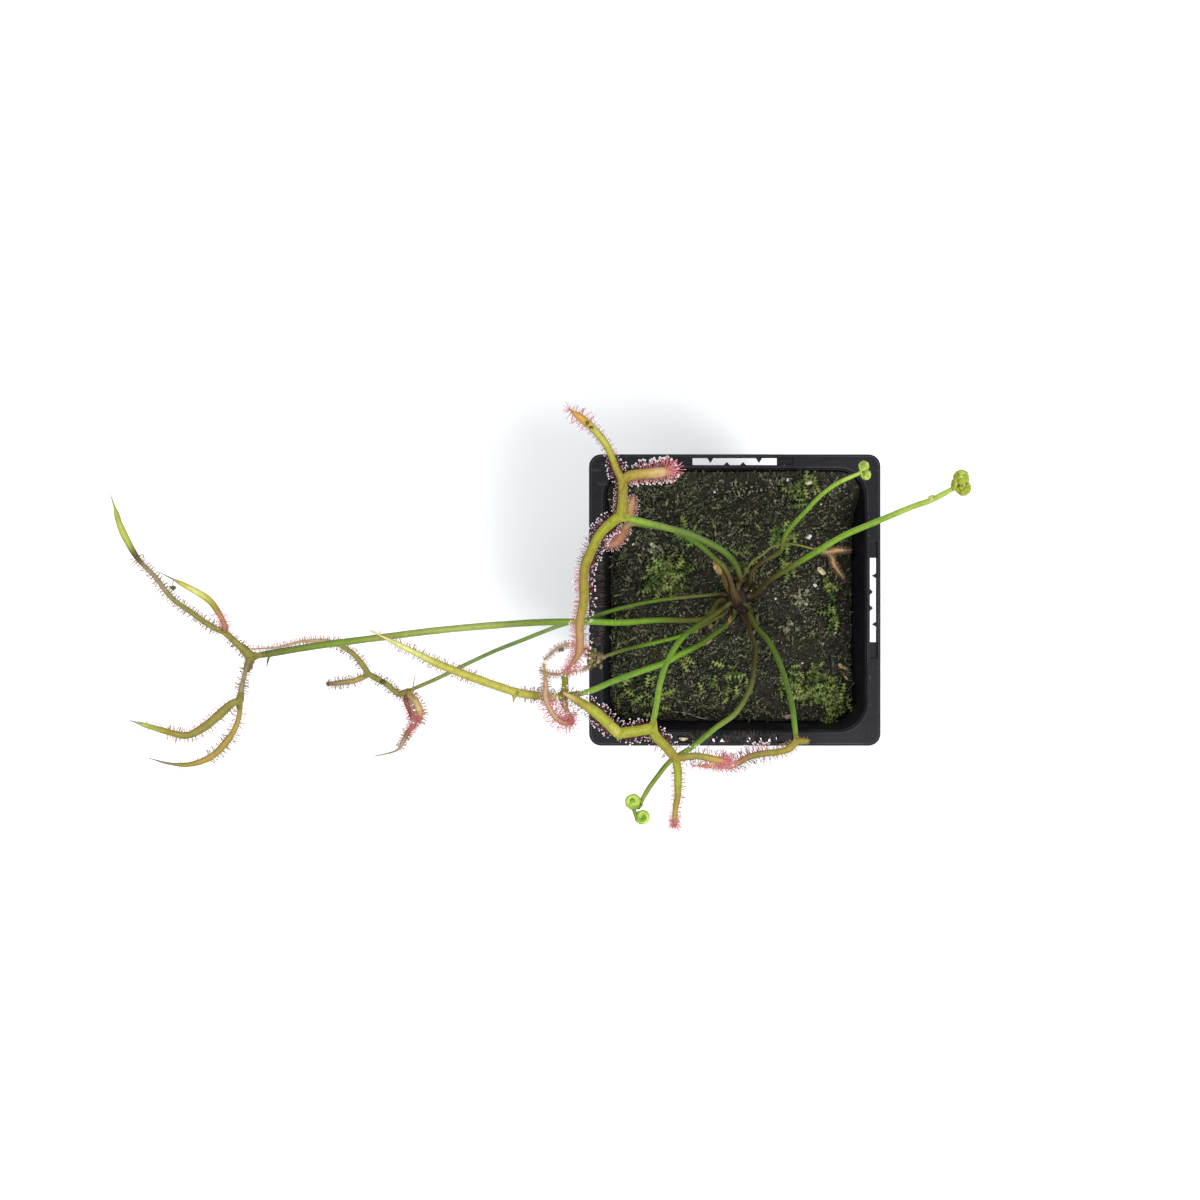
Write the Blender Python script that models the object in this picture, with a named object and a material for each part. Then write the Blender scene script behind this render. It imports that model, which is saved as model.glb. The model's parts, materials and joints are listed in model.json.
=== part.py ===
"""A potted forked sundew: square nursery pot, soil, rootstock and twelve leaves. Sizes are in millimetres.
The origin is the middle of the pot's underside, with +Z up and -Y towards the front."""

import math
import random
from collections import namedtuple

import bmesh
import bpy
from mathutils import Matrix, Vector, noise

MM = 0.001
GAP = 0.3

# Pot
RIM_HALF = 45.0
RIM_CORNER = 3.7
POT_HEIGHT = 80.0
MOUTH_HALF = 40.2
MOUTH_CORNER = 8.4
WALL = 1.0
FLANGE_THICK = 1.6
SKIRT_DEPTH = 3.6
FLOOR_HALF = 30.3
FLOOR_CORNER = 5.0
FLOOR_THICK = 1.6
EDGE_ROUND = 0.7
CORNER_STEPS = 6
SLOT_LENGTH = 26.0
RECESS_LENGTH = 36.0
RECESS_DEPTH = 0.9
SLOT_NEAR = MOUTH_HALF + WALL + 0.4
SLOT_FAR = RIM_HALF - WALL
TOOTH_OUTER = (7.5, 1.0, 1.7)
TOOTH_INNER = (2.5, 0.9, 1.0)
DRAIN_RADIUS = 4.0
DRAIN_PLACE = 19.0
CHANNEL_WIDTH = 5.0
CHANNEL_DEPTH = 0.7
CHANNEL_START = 13.0
CHANNEL_OVERRUN = 4.0

# Soil and rootstock
SOIL_LEVEL = 66.0
SOIL_SHOULDER = 2.0
SOIL_RINGS = 8
SIDE_STEPS = 5
SOIL_WAVES = ((0.10, 0.9), (0.31, 0.55))
SOIL_SEED = 7.3
HEAP_HEIGHT = 12.0
HEAP_START = 22.0
HEAP_RUN = 15.0
CROWN_PLACE = (1.3, 0.6)
CROWN_SIDES = 12
CROWN_LOBE = 0.05
CROWN_PROFILE = ((28.0, 0.9), (42.0, 1.7), (56.0, 2.6), (64.0, 3.3), (70.5, 3.45), (73.2, 3.1), (74.2, 2.2))

# Leaves
EXIT_REACH = 4.0
EXIT_RUN = 1.4
EXIT_RISE = 0.45
SHEATH_LENGTH = 15.0
STALK_SIDES_RES = 1
STALK_STEP = 3.0
STALK_SKIP = 3
STALK_FINE = 4
ARM_STEP = 3.4
ARM_THICK = 0.75
TIP_WIDTH = 0.7
TENTACLE_LENGTH = 2.3
TENTACLE_RADIUS = 0.2
TENTACLE_SUNK = 0.55
TENTACLE_STEP = 4.2
BURST_TENTACLES = 6
BURST_TURN = 2.4
COIL_TURNS = 1.2
COIL_STEPS = 11
COIL_CORE = 0.42
COIL_RISE = 0.25

Arm = namedtuple("Arm", "width route")
Coil = namedtuple("Coil", "root centre outer start side")

MATERIALS = {
    "pot": ((0.012, 0.012, 0.016), 0.38),
    "soil": ((0.022, 0.020, 0.014), 0.95),
    "crown": ((0.075, 0.030, 0.022), 0.7),
    "leaf": ((0.30, 0.36, 0.05), 0.45),
    "leaf_red": ((0.42, 0.16, 0.09), 0.45),
    "crozier": ((0.22, 0.42, 0.05), 0.4),
    "withered": ((0.28, 0.20, 0.12), 0.8),
}


def clear_scene():
    """Removes whatever the scene holds."""
    for item in list(bpy.data.objects):
        bpy.data.objects.remove(item)


def new_collection(name):
    """A collection linked to the scene."""
    collection = bpy.data.collections.new(name)
    bpy.context.scene.collection.children.link(collection)
    return collection


def make_material(node, kind):
    """One Principled material for one node, from the table above."""
    colour, roughness = MATERIALS[kind]
    material = bpy.data.materials.new(node + "_" + kind)
    material.use_nodes = True
    shader = material.node_tree.nodes["Principled BSDF"]
    shader.inputs["Base Color"].default_value = (*colour, 1.0)
    shader.inputs["Roughness"].default_value = roughness
    shader.inputs["Metallic"].default_value = 0.0
    return material


def add_object(name, mesh, collection):
    """An object of a finished mesh in a collection."""
    item = bpy.data.objects.new(name, mesh)
    collection.objects.link(item)
    return item


def finish(item, kind, collection):
    """Puts a finished piece in the plant's collection, with its material and smooth shading."""
    for old in list(item.users_collection):
        old.objects.unlink(item)
    collection.objects.link(item)
    item.data.materials.clear()
    item.data.materials.append(make_material(item.name, kind))
    item.data.shade_smooth()
    item.data.set_sharp_from_angle(angle=math.radians(40))


def loft(name, rings, collection):
    """A closed solid through rings of equally many points in millimetres, with a flat face on each end."""
    mesh = bpy.data.meshes.new(name)
    sides = len(rings[0])
    points = [tuple(c * MM for c in point) for ring in rings for point in ring]
    faces = [tuple(range(sides)), tuple(range(len(points) - sides, len(points)))]
    for i in range(len(rings) - 1):
        low = i * sides
        for j in range(sides):
            k = (j + 1) % sides
            faces.append((low + j, low + k, low + sides + k, low + sides + j))
    mesh.from_pydata(points, [], faces)
    bm = bmesh.new()
    bm.from_mesh(mesh)
    bmesh.ops.recalc_face_normals(bm, faces=bm.faces)
    bmesh.ops.triangulate(bm, faces=[f for f in bm.faces if len(f.verts) == 4])
    bm.to_mesh(mesh)
    bm.free()
    return add_object(name, mesh, collection)


def apply_boolean(item, tools, operation, solver="EXACT"):
    """One Boolean with every object of a collection, applied; the tools are then removed."""
    cut = item.modifiers.new(operation.lower(), "BOOLEAN")
    cut.operation = operation
    cut.operand_type = "COLLECTION"
    cut.collection = tools
    cut.solver = solver
    bpy.context.view_layer.objects.active = item
    bpy.ops.object.modifier_apply(modifier=cut.name)
    for tool in list(tools.objects):
        bpy.data.objects.remove(tool)
    bpy.data.collections.remove(tools)


# Pot


def square_ring(half, corner, z):
    """A square with round corners, level at z."""
    ring = []
    for quarter in range(4):
        turn = math.radians(90.0 * quarter + 45.0)
        x = math.copysign(half - corner, math.cos(turn))
        y = math.copysign(half - corner, math.sin(turn))
        for k in range(CORNER_STEPS + 1):
            angle = math.radians(90.0 * (quarter + k / CORNER_STEPS))
            ring.append((x + corner * math.cos(angle), y + corner * math.sin(angle), z))
    return ring


def inner_half(z):
    """Half the width inside the pot at height z."""
    share = (z - FLOOR_THICK) / (POT_HEIGHT - EDGE_ROUND - FLOOR_THICK)
    return FLOOR_HALF + (MOUTH_HALF - FLOOR_HALF) * share


def pot_shell(collection):
    """Floor, tapered walls, flange and skirt in one loft, from the underside round to the inner floor."""
    top = POT_HEIGHT
    under = top - FLANGE_THICK
    skirt = RIM_HALF - WALL
    rings = [
        square_ring(FLOOR_HALF + WALL - EDGE_ROUND, FLOOR_CORNER + 0.3, 0.0),
        square_ring(FLOOR_HALF + WALL, FLOOR_CORNER + 1.0, EDGE_ROUND),
        square_ring(MOUTH_HALF + WALL, MOUTH_CORNER + WALL, under),
        square_ring(skirt, RIM_CORNER - 0.5, under),
        square_ring(skirt, RIM_CORNER - 0.5, top - SKIRT_DEPTH),
        square_ring(RIM_HALF, RIM_CORNER, top - SKIRT_DEPTH),
        square_ring(RIM_HALF, RIM_CORNER, top - EDGE_ROUND),
        square_ring(RIM_HALF - EDGE_ROUND, RIM_CORNER - 0.5, top),
        square_ring(MOUTH_HALF + EDGE_ROUND, MOUTH_CORNER + 0.4, top),
        square_ring(MOUTH_HALF, MOUTH_CORNER, top - EDGE_ROUND),
        square_ring(FLOOR_HALF, FLOOR_CORNER, FLOOR_THICK),
    ]
    return loft("pot", rings, collection)


def box(name, size, centre, collection):
    """A box of a size about a centre, both in millimetres."""
    bpy.ops.mesh.primitive_cube_add(size=1.0)
    item = bpy.context.object
    item.name = name
    item.data.transform(Matrix.Diagonal((*(c * MM for c in size), 1.0)))
    item.data.transform(Matrix.Translation(Vector(centre) * MM))
    for old in list(item.users_collection):
        old.objects.unlink(item)
    collection.objects.link(item)
    return item


def tooth(place, half, height, edge, direction):
    """Three outline points of one tooth on a slot's edge, in the order that the outline runs."""
    run = 1 if direction > 0 else -1
    return [(place - run * half, edge), (place, edge + direction * height), (place + run * half, edge)]


def slot_outline():
    """The open part of a label slot, with its teeth, as a flat outline on the +Y side."""
    half = SLOT_LENGTH / 2
    points = [(-half, SLOT_NEAR)]
    for side in (-1, 1):
        points += tooth(side * TOOTH_INNER[0], TOOTH_INNER[1], TOOTH_INNER[2], SLOT_NEAR, 1)
    points += [(half, SLOT_NEAR), (half, SLOT_FAR)]
    for side in (1, -1):
        points += tooth(side * TOOTH_OUTER[0], TOOTH_OUTER[1], TOOTH_OUTER[2], SLOT_FAR, -1)
    points.append((-half, SLOT_FAR))
    return points


def slot_cutter(turn, collection):
    """The open slot of one side, as an extruded outline made a mesh."""
    outline = bpy.data.curves.new("slot", "CURVE")
    outline.dimensions = "2D"
    outline.fill_mode = "BOTH"
    outline.extrude = 2.0 * FLANGE_THICK * MM
    spline = outline.splines.new("POLY")
    points = slot_outline()
    spline.points.add(len(points) - 1)
    for point, (x, y) in zip(spline.points, points):
        point.co = (x * MM, y * MM, 0.0, 1.0)
    spline.use_cyclic_u = True
    shape = add_object("slot_curve", outline, collection)
    mesh = mesh_of(shape)
    mesh.transform(turn @ Matrix.Translation((0.0, 0.0, POT_HEIGHT * MM)))
    add_object("slot_cutter", mesh, collection)


def recess_cutters(turn, collection):
    """The shallow recesses at both ends of one side's slot."""
    length = (RECESS_LENGTH - SLOT_LENGTH) / 2
    size = (length + 0.2, SLOT_FAR - SLOT_NEAR, 2 * RECESS_DEPTH)
    for side in (-1, 1):
        place = (side * (SLOT_LENGTH + length) / 2, (SLOT_NEAR + SLOT_FAR) / 2, POT_HEIGHT)
        box("recess", size, place, collection).data.transform(turn)


def channel_cutter(turn, collection):
    """One shallow channel under the floor, open at the wall."""
    length = FLOOR_HALF - CHANNEL_START + CHANNEL_OVERRUN
    place = (CHANNEL_START + length / 2, 0.0, 0.0)
    box("channel", (length, CHANNEL_WIDTH, 2 * CHANNEL_DEPTH), place, collection).data.transform(turn)


def drain_cutter(turn, collection):
    """One round drainage hole through the floor."""
    bpy.ops.mesh.primitive_cylinder_add(vertices=16, radius=DRAIN_RADIUS * MM, depth=4 * FLOOR_THICK * MM)
    hole = bpy.context.object
    hole.data.transform(turn @ Matrix.Translation(Vector((DRAIN_PLACE, DRAIN_PLACE, 0.0)) * MM))
    hole.users_collection[0].objects.unlink(hole)
    collection.objects.link(hole)


def mesh_of(shape):
    """A curve object made a welded mesh; the curve is removed."""
    graph = bpy.context.evaluated_depsgraph_get()
    mesh = bpy.data.meshes.new_from_object(shape.evaluated_get(graph))
    bm = bmesh.new()
    bm.from_mesh(mesh)
    bmesh.ops.remove_doubles(bm, verts=bm.verts, dist=0.000001)
    bmesh.ops.recalc_face_normals(bm, faces=bm.faces)
    bm.to_mesh(mesh)
    bm.free()
    bpy.data.objects.remove(shape)
    return mesh


def make_pot(plant):
    """The pot with its slots, slot recesses, drainage holes and the channels under its floor."""
    pot = pot_shell(plant)
    tools = new_collection("pot_cutters")
    for quarter in range(4):
        turn = Matrix.Rotation(math.radians(90.0 * quarter), 4, "Z")
        slot_cutter(turn, tools)
        recess_cutters(turn, tools)
        channel_cutter(turn, tools)
        drain_cutter(turn, tools)
    apply_boolean(pot, tools, "DIFFERENCE")
    finish(pot, "pot", plant)


# Soil and rootstock


def soil_height(x, y):
    """Height of the rough top of the soil, which is heaped up to the rim along the back wall."""
    share = min(1.0, max(0.0, (y - HEAP_START) / HEAP_RUN))
    height = SOIL_LEVEL + HEAP_HEIGHT * share * share * (3.0 - 2.0 * share)
    for pitch, amount in SOIL_WAVES:
        height += amount * noise.noise(Vector((x * pitch, y * pitch, SOIL_SEED)))
    return height


def crown_rings(extra):
    """Round rings of the rootstock and its root, made larger by extra."""
    rings = []
    for z, radius in CROWN_PROFILE:
        ring = []
        for k in range(CROWN_SIDES):
            angle = 2.0 * math.pi * k / CROWN_SIDES
            reach = (radius + extra) * (1.0 + CROWN_LOBE * math.sin(3.0 * angle + z))
            x = CROWN_PLACE[0] + reach * math.cos(angle)
            y = CROWN_PLACE[1] + reach * math.sin(angle)
            ring.append((x, y, z))
        rings.append(ring)
    return rings


def soil_ring(half, corner, z=0.0):
    """A level square ring with round corners, with further points along its straight sides."""
    ring = square_ring(half, corner, z)
    full = []
    for i, point in enumerate(ring):
        full.append(point)
        if (i + 1) % (CORNER_STEPS + 1) == 0:
            start = Vector(point)
            end = Vector(ring[(i + 1) % len(ring)])
            for k in range(1, SIDE_STEPS + 1):
                full.append(tuple(start.lerp(end, k / (SIDE_STEPS + 1))))
    return full


def make_soil(plant):
    """Soil that fills the pot, with a rough top and a plain hole for the rootstock."""
    low = FLOOR_THICK + GAP
    side_gap = GAP + 0.05
    shoulder = SOIL_LEVEL - SOIL_SHOULDER
    half = inner_half(shoulder) - side_gap
    corner = MOUTH_CORNER - 1.0
    edge = []
    for x, y, z in soil_ring(half, corner):
        height = soil_height(x, y)
        spread = (inner_half(height) - side_gap) / half
        edge.append((x * spread, y * spread, height))
    rings = [
        soil_ring(FLOOR_HALF - side_gap, FLOOR_CORNER - GAP, low),
        soil_ring(half, corner, shoulder),
        edge,
    ]
    for k in range(1, SOIL_RINGS):
        share = 1.0 - k / SOIL_RINGS
        level = soil_ring(half * share, corner * share)
        rings.append([(x, y, soil_height(x, y)) for x, y, z in level])
    soil = loft("soil", rings, plant)
    tools = new_collection("soil_cutters")
    hole = crown_rings(GAP)
    hole[0] = [(x, y, z - GAP) for x, y, z in hole[0]]
    loft("crown_hole", hole, tools)
    apply_boolean(soil, tools, "DIFFERENCE")
    finish(soil, "soil", plant)


def make_crown(plant):
    """The rootstock, with its root going down into the soil."""
    finish(loft("crown", crown_rings(0.0), plant), "crown", plant)


# Leaf parts


def smooth_route(points, step):
    """A smooth path through a few points, as evenly spaced points about a step apart."""
    knots = [Vector(p) for p in points]
    knots = [2 * knots[0] - knots[1]] + knots + [2 * knots[-1] - knots[-2]]
    fine = []
    for a, b, c, d in zip(knots, knots[1:], knots[2:], knots[3:]):
        for k in range(12):
            t = k / 12
            fine.append(0.5 * (2 * b + (c - a) * t + (2 * a - 5 * b + 4 * c - d) * t * t
                               + (3 * b - a - 3 * c + d) * t ** 3))
    fine.append(knots[-2])
    lengths = [0.0]
    for p, q in zip(fine, fine[1:]):
        lengths.append(lengths[-1] + (q - p).length)
    count = max(3, round(lengths[-1] / step))
    route = []
    i = 0
    for k in range(count + 1):
        goal = lengths[-1] * k / count
        while i < len(fine) - 2 and lengths[i + 1] < goal:
            i += 1
        span = lengths[i + 1] - lengths[i]
        route.append(fine[i].lerp(fine[i + 1], (goal - lengths[i]) / span))
    return route


def frames(route):
    """For each point of a route its direction, its sideways direction and its face's, kept upward."""
    found = []
    face = Vector((0.0, 0.0, 1.0))
    for i in range(len(route)):
        ahead = (route[min(i + 1, len(route) - 1)] - route[max(i - 1, 0)]).normalized()
        face = 0.7 * face + Vector((0.0, 0.0, 0.3))
        face = (face - ahead * face.dot(ahead)).normalized()
        found.append((ahead, ahead.cross(face), face))
    return found


def crown_exit(azimuth, height):
    """The first points of a stalk that leaves the rootstock's side at an azimuth in degrees."""
    out = Vector((math.cos(math.radians(azimuth)), math.sin(math.radians(azimuth)), 0.0))
    start = Vector((*CROWN_PLACE, height)) + out * EXIT_REACH
    return [start, start + out * EXIT_RUN + Vector((0.0, 0.0, EXIT_RISE))]


def make_stalk(name, points, radius, sheath, collection):
    """A round stalk along a route, wider at its sheath, as a curve tube made a mesh."""
    route = smooth_route(points, STALK_STEP)
    shares = [max(0.0, 1.0 - i * STALK_STEP / SHEATH_LENGTH) for i in range(len(route))]
    swell = [1.0 + (sheath - 1.0) * share for share in shares]
    kept = [i for i in range(len(route) - 1) if i < STALK_FINE or i % STALK_SKIP == 0] + [len(route) - 1]
    curve = bpy.data.curves.new(name, "CURVE")
    curve.dimensions = "3D"
    curve.bevel_depth = radius * MM
    curve.bevel_resolution = STALK_SIDES_RES
    curve.use_fill_caps = True
    spline = curve.splines.new("POLY")
    spline.points.add(len(kept) - 1)
    for point, i in zip(spline.points, kept):
        point.co = (*(route[i] * MM), 1.0)
        point.radius = swell[i]
    shape = add_object(name, curve, collection)
    return add_object(name, mesh_of(shape), collection)


def arm_width(arm, share, ends):
    """Width of a blade arm at a share of its length; an arm that ends free runs out to a thin tip."""
    if not ends:
        return arm.width
    fall = max(0.0, (share - 0.45) / 0.55)
    return arm.width + (TIP_WIDTH - arm.width) * fall ** 1.6


def make_arm(name, arm, ends, collection):
    """A flat blade arm: four-sided rings along its route, with a narrow start sunk in the fork."""
    route = smooth_route(arm.route, ARM_STEP)
    directions = frames(route)
    back = 0.45 * arm.width
    widths = [arm_width(arm, i / (len(route) - 1), ends) for i in range(len(route))]
    places = [route[0] - directions[0][0] * back] + route
    directions = [directions[0]] + directions
    widths = [0.5 * arm.width] + widths
    rings = []
    for place, (ahead, side, face), width in zip(places, directions, widths):
        half = width / 2
        thick = min(ARM_THICK, width) / 2
        ring = []
        for across, up in ((1, 1), (-1, 1), (-1, -1), (1, -1)):
            ring.append(place + side * half * across + face * thick * up)
        rings.append(ring)
    return loft(name, rings, collection)


def make_tentacle(root, direction, sunk, collection):
    """One three-sided tentacle from a root inside the blade, the given length of it sunk there."""
    way = direction.normalized()
    turn = Vector((0.0, 0.0, 1.0)).rotation_difference(way).to_matrix().to_4x4()
    length = TENTACLE_LENGTH + sunk
    middle = root + way * length / 2
    mesh = bpy.data.meshes.new("tentacle")
    bm = bmesh.new()
    bmesh.ops.create_cone(bm, cap_ends=True, segments=3, radius1=TENTACLE_RADIUS * MM, radius2=0.0,
                          depth=length * MM, matrix=Matrix.Translation(middle * MM) @ turn)
    bm.to_mesh(mesh)
    bm.free()
    add_object("tentacle", mesh, collection)


def arm_tentacles(arm, ends, chance, collection):
    """Tentacles along both margins and the upper face of one arm, and round its tip where it ends free."""
    route = smooth_route(arm.route, TENTACLE_STEP)
    for i, (place, (ahead, side, face)) in enumerate(zip(route, frames(route))):
        if i == 0:
            continue
        half = arm_width(arm, i / (len(route) - 1), ends) / 2
        sunk = min(TENTACLE_SUNK, half * 0.7)
        lean = ahead * chance.uniform(-0.35, 0.35)
        for hand in (-1, 1):
            lift = 0.45 if (i + hand) % 4 < 2 else -0.25
            root = place + side * hand * (half - sunk)
            make_tentacle(root, side * hand + face * lift + lean, sunk, collection)
        if i % 2:
            hand = 1 if i % 4 == 1 else -1
            make_tentacle(place, face + side * hand * 0.4 + lean, ARM_THICK / 2, collection)
    if ends:
        root = route[-1] - ahead * TENTACLE_SUNK
        for hand in (-0.3, 0.3):
            way = ahead + side * hand + face * chance.uniform(-0.1, 0.2)
            make_tentacle(root, way, TENTACLE_SUNK, collection)


def tip_burst(arm, chance, collection):
    """Crowded tentacles all round one arm's tip."""
    last = Vector(arm.route[-1])
    centre = last + (Vector(arm.route[-2]) - last).normalized() * TENTACLE_SUNK
    for k in range(BURST_TENTACLES):
        height = 1.0 - 2.0 * (k + 0.5) / BURST_TENTACLES
        reach = math.sqrt(1.0 - height * height)
        angle = BURST_TURN * k + chance.uniform(-0.2, 0.2)
        way = Vector((reach * math.cos(angle), reach * math.sin(angle), height))
        make_tentacle(centre, way, TENTACLE_SUNK, collection)


def make_coil(coil, collection):
    """One rolled-up young arm: a flat spiral tube, its axis near upright."""
    curve = bpy.data.curves.new("coil", "CURVE")
    curve.dimensions = "3D"
    pitch = (coil.outer - COIL_CORE) / COIL_TURNS
    tube = pitch / 2 * 0.94
    curve.bevel_depth = tube * MM
    curve.bevel_resolution = STALK_SIDES_RES
    curve.use_fill_caps = True
    spline = curve.splines.new("POLY")
    count = round(COIL_STEPS * COIL_TURNS)
    spline.points.add(count + 1)
    spline.points[0].co = (*(c * MM for c in coil.root), 1.0)
    centre = Vector(coil.centre)
    for k in range(count + 1):
        angle = math.radians(coil.start) + coil.side * 2.0 * math.pi * k / COIL_STEPS
        reach = coil.outer - tube - pitch * k / COIL_STEPS
        rise = COIL_RISE * k / COIL_STEPS
        place = centre + Vector((reach * math.cos(angle), reach * math.sin(angle), rise))
        spline.points[k + 1].co = (*(place * MM), 1.0)
    shape = add_object("coil", curve, collection)
    return add_object("coil", mesh_of(shape), collection)


def make_leaf(plant, name, kind, stalk, radius, arms, bursts=(), coils=(), sheath=1.1, bare=()):
    """One leaf: its stalk, blade arms, coils and tentacles fused into one body."""
    pieces = new_collection(name + "_pieces")
    chance = random.Random(name)
    body = make_stalk(name, stalk, radius, sheath, plant)
    starts = [arm.route[0] for arm in (*arms, *bare)]
    for arm in bare:
        make_arm(name + "_arm", arm, True, pieces)
    for arm in arms:
        ends = arm.route[-1] not in starts
        make_arm(name + "_arm", arm, ends, pieces)
        arm_tentacles(arm, ends, chance, pieces)
    for i in bursts:
        tip_burst(arms[i], chance, pieces)
    for coil in coils:
        make_coil(coil, pieces)
    apply_boolean(body, pieces, "UNION", "MANIFOLD")
    finish(body, kind, plant)


# Leaves, each with its route points in millimetres


def leaf_upper_left(plant):
    """Bright stalk over the upper left of the pot, with three arms."""
    fork = (-36.4, 21, 170)
    second = (-36, 29.5, 178)
    stalk = [*crown_exit(85, 73), (1.2, 6.6, 86), (-1, 9.5, 99), (-4, 12, 113), (-9, 14.5, 130),
             (-17.5, 17.4, 146), (-25.5, 19, 158), (-31, 20, 165), fork]
    arms = [
        Arm(1.9, [fork, (-36, 24.5, 174), (-36, 27, 177), second]),
        Arm(1.9, [second, (-37.5, 32, 180), (-40, 37.5, 184), (-44, 42, 187), (-49, 46, 187)]),
        Arm(2.2, [second, (-34.5, 30.5, 179), (-31.5, 31, 179), (-27.5, 31.5, 177), (-23.5, 32.5, 173)]),
        Arm(2.0, [fork, (-38, 20, 171), (-41.5, 16.5, 175), (-44, 11.5, 179), (-45.5, 7, 181),
                  (-45.5, 0, 183), (-46.5, -5.5, 183), (-46.5, -10.5, 182), (-47, -13.5, 180),
                  (-50, -17.5, 176)]),
    ]
    make_leaf(plant, "leaf_upper_left", "leaf", stalk, 0.93, arms, bursts=[2, 3])


def leaf_upper_left_low(plant):
    """Darker stalk under the first one, from a brown sheath with a tan stipule, with two small red arms."""
    fork = (-33, 21, 135)
    stalk = [(0.9, 0.3, 75), (-1, 3, 83), (-2.5, 6.5, 91), (-5, 10, 99), (-8, 12, 105), (-13.5, 16, 115),
             (-21, 19.5, 125), fork]
    arms = [
        Arm(2.1, [fork, (-33.5, 23.5, 137), (-33, 26, 138), (-32.5, 28, 137)]),
        Arm(2.1, [fork, (-34.5, 20, 136), (-36, 17, 137), (-37.5, 15.5, 135), (-40, 15, 132)]),
    ]
    stipule = Arm(2.2, [(-2.6, 6.0, 90), (-4.6, 7.8, 94.5), (-7.2, 10.4, 99)])
    make_leaf(plant, "leaf_upper_left_low", "leaf_red", stalk, 0.85, arms, sheath=1.4, bare=[stipule])


def leaf_left(plant):
    """Thin stalk going left, forked twice, with two curled arms."""
    fork = (-89, -22.5, 179)
    second = (-97.5, -18, 185)
    stalk = [*crown_exit(150, 71.5), (-8.5, 1.5, 81), (-23.5, 0, 96), (-36, -2.5, 109), (-46, -5.5, 120),
             (-52.5, -7, 129), (-63, -11, 142), (-69.5, -13.5, 151), (-77, -17, 162), (-82, -19.5, 170),
             fork]
    arms = [
        Arm(1.4, [fork, (-91, -23, 181), (-93.5, -20.5, 183), second]),
        Arm(1.0, [second, (-100.5, -13.5, 187), (-104, -11, 187), (-107.5, -10, 186), (-113.5, -10, 185),
                  (-120, -11.5, 183), (-127, -12, 180)]),
        Arm(1.3, [second, (-101, -19.5, 185), (-104, -20, 184), (-108, -20.5, 182)]),
        Arm(1.3, [fork, (-88.5, -24, 175), (-87.5, -26, 170), (-87, -28.5, 167), (-87.5, -31, 167)]),
        Arm(1.4, [fork, (-89, -25, 181), (-88, -27.5, 181), (-87.5, -30.5, 178), (-89.5, -33, 174),
                  (-91, -35.5, 171), (-93, -38, 169), (-98.5, -39.5, 168)]),
    ]
    make_leaf(plant, "leaf_left", "leaf_red", stalk, 0.6, arms, bursts=[3])


def leaf_far_left(plant):
    """The longest stalk, with two forks of two long arms."""
    fork = (-118.5, -12.5, 220)
    upper = (-123, -7, 225)
    lower = (-120, -22, 224)
    stalk = [*crown_exit(-170, 69.2), (-6.5, -3.4, 73), (-10.5, -6, 80), (-24.5, -6, 97), (-35.5, -6.5, 113),
             (-46, -6, 128), (-58, -6, 144), (-68.5, -6.5, 159), (-81.5, -7.5, 175), (-94.5, -9, 191),
             (-106.5, -10.5, 206), fork]
    arms = [
        Arm(1.7, [fork, (-120, -10.5, 222), upper]),
        Arm(1.6, [upper, (-126, -5.5, 226), (-130, -2.5, 227), (-133.5, 0.5, 229), (-136.5, 5, 231),
                  (-140, 9, 232), (-143, 15, 233), (-145, 19.5, 231), (-147, 23, 228)]),
        Arm(1.5, [upper, (-122.5, -5, 228), (-123, -3, 230), (-124.5, 0, 233), (-128, 2.5, 235),
                  (-134.5, 6, 236)]),
        Arm(1.6, [fork, (-119, -15, 222), (-119.5, -17.5, 223), lower]),
        Arm(1.6, [lower, (-121.5, -22.5, 225), (-124, -25, 227), (-127, -27.5, 228), (-130, -29, 229),
                  (-133.5, -28.5, 229), (-143, -26, 227)]),
        Arm(1.4, [lower, (-120, -24.5, 224), (-121, -28, 224), (-124, -32, 223), (-127, -34.5, 223),
                  (-131.5, -36, 222), (-136.5, -36, 220), (-141.5, -35, 218)]),
    ]
    make_leaf(plant, "leaf_far_left", "leaf", stalk, 0.95, arms)


def leaf_front(plant):
    """Yellow blade over the front edge of the pot."""
    fork = (-28.5, -32.5, 168)
    elbow = (-37, -33.5, 171)
    second = (-22.5, -40, 169)
    stalk = [*crown_exit(-145, 73.3), (-5, -3.6, 79), (-7.5, -5, 84), (-12.5, -7.5, 96), (-18.5, -11.5, 113),
             (-23, -17, 131), (-25.5, -22.5, 144), (-27, -28, 156), fork]
    arms = [
        Arm(2.1, [fork, (-32.5, -33, 170), elbow]),
        Arm(2.3, [elbow, (-39, -31.5, 172), (-41.5, -29, 174), (-44.5, -26.5, 176), (-50.5, -23, 177)]),
        Arm(2.1, [fork, (-27.5, -34.5, 168), (-25, -37, 169), second]),
        Arm(1.9, [second, (-19.5, -39.5, 169), (-16.5, -39.5, 168), (-12.5, -40.5, 166),
                  (-8.5, -41.5, 163)]),
        Arm(1.9, [second, (-22, -43, 170), (-22, -46.5, 170), (-22, -49.5, 169),
                  (-22.5, -53.5, 166), (-22.5, -58, 161)]),
    ]
    spur = Arm(2.2, [elbow, (-37.3, -34.6, 171), (-37.5, -35.8, 171)])
    make_leaf(plant, "leaf_front", "leaf", stalk, 0.93, arms, bursts=[3, 4], bare=[spur])


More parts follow.
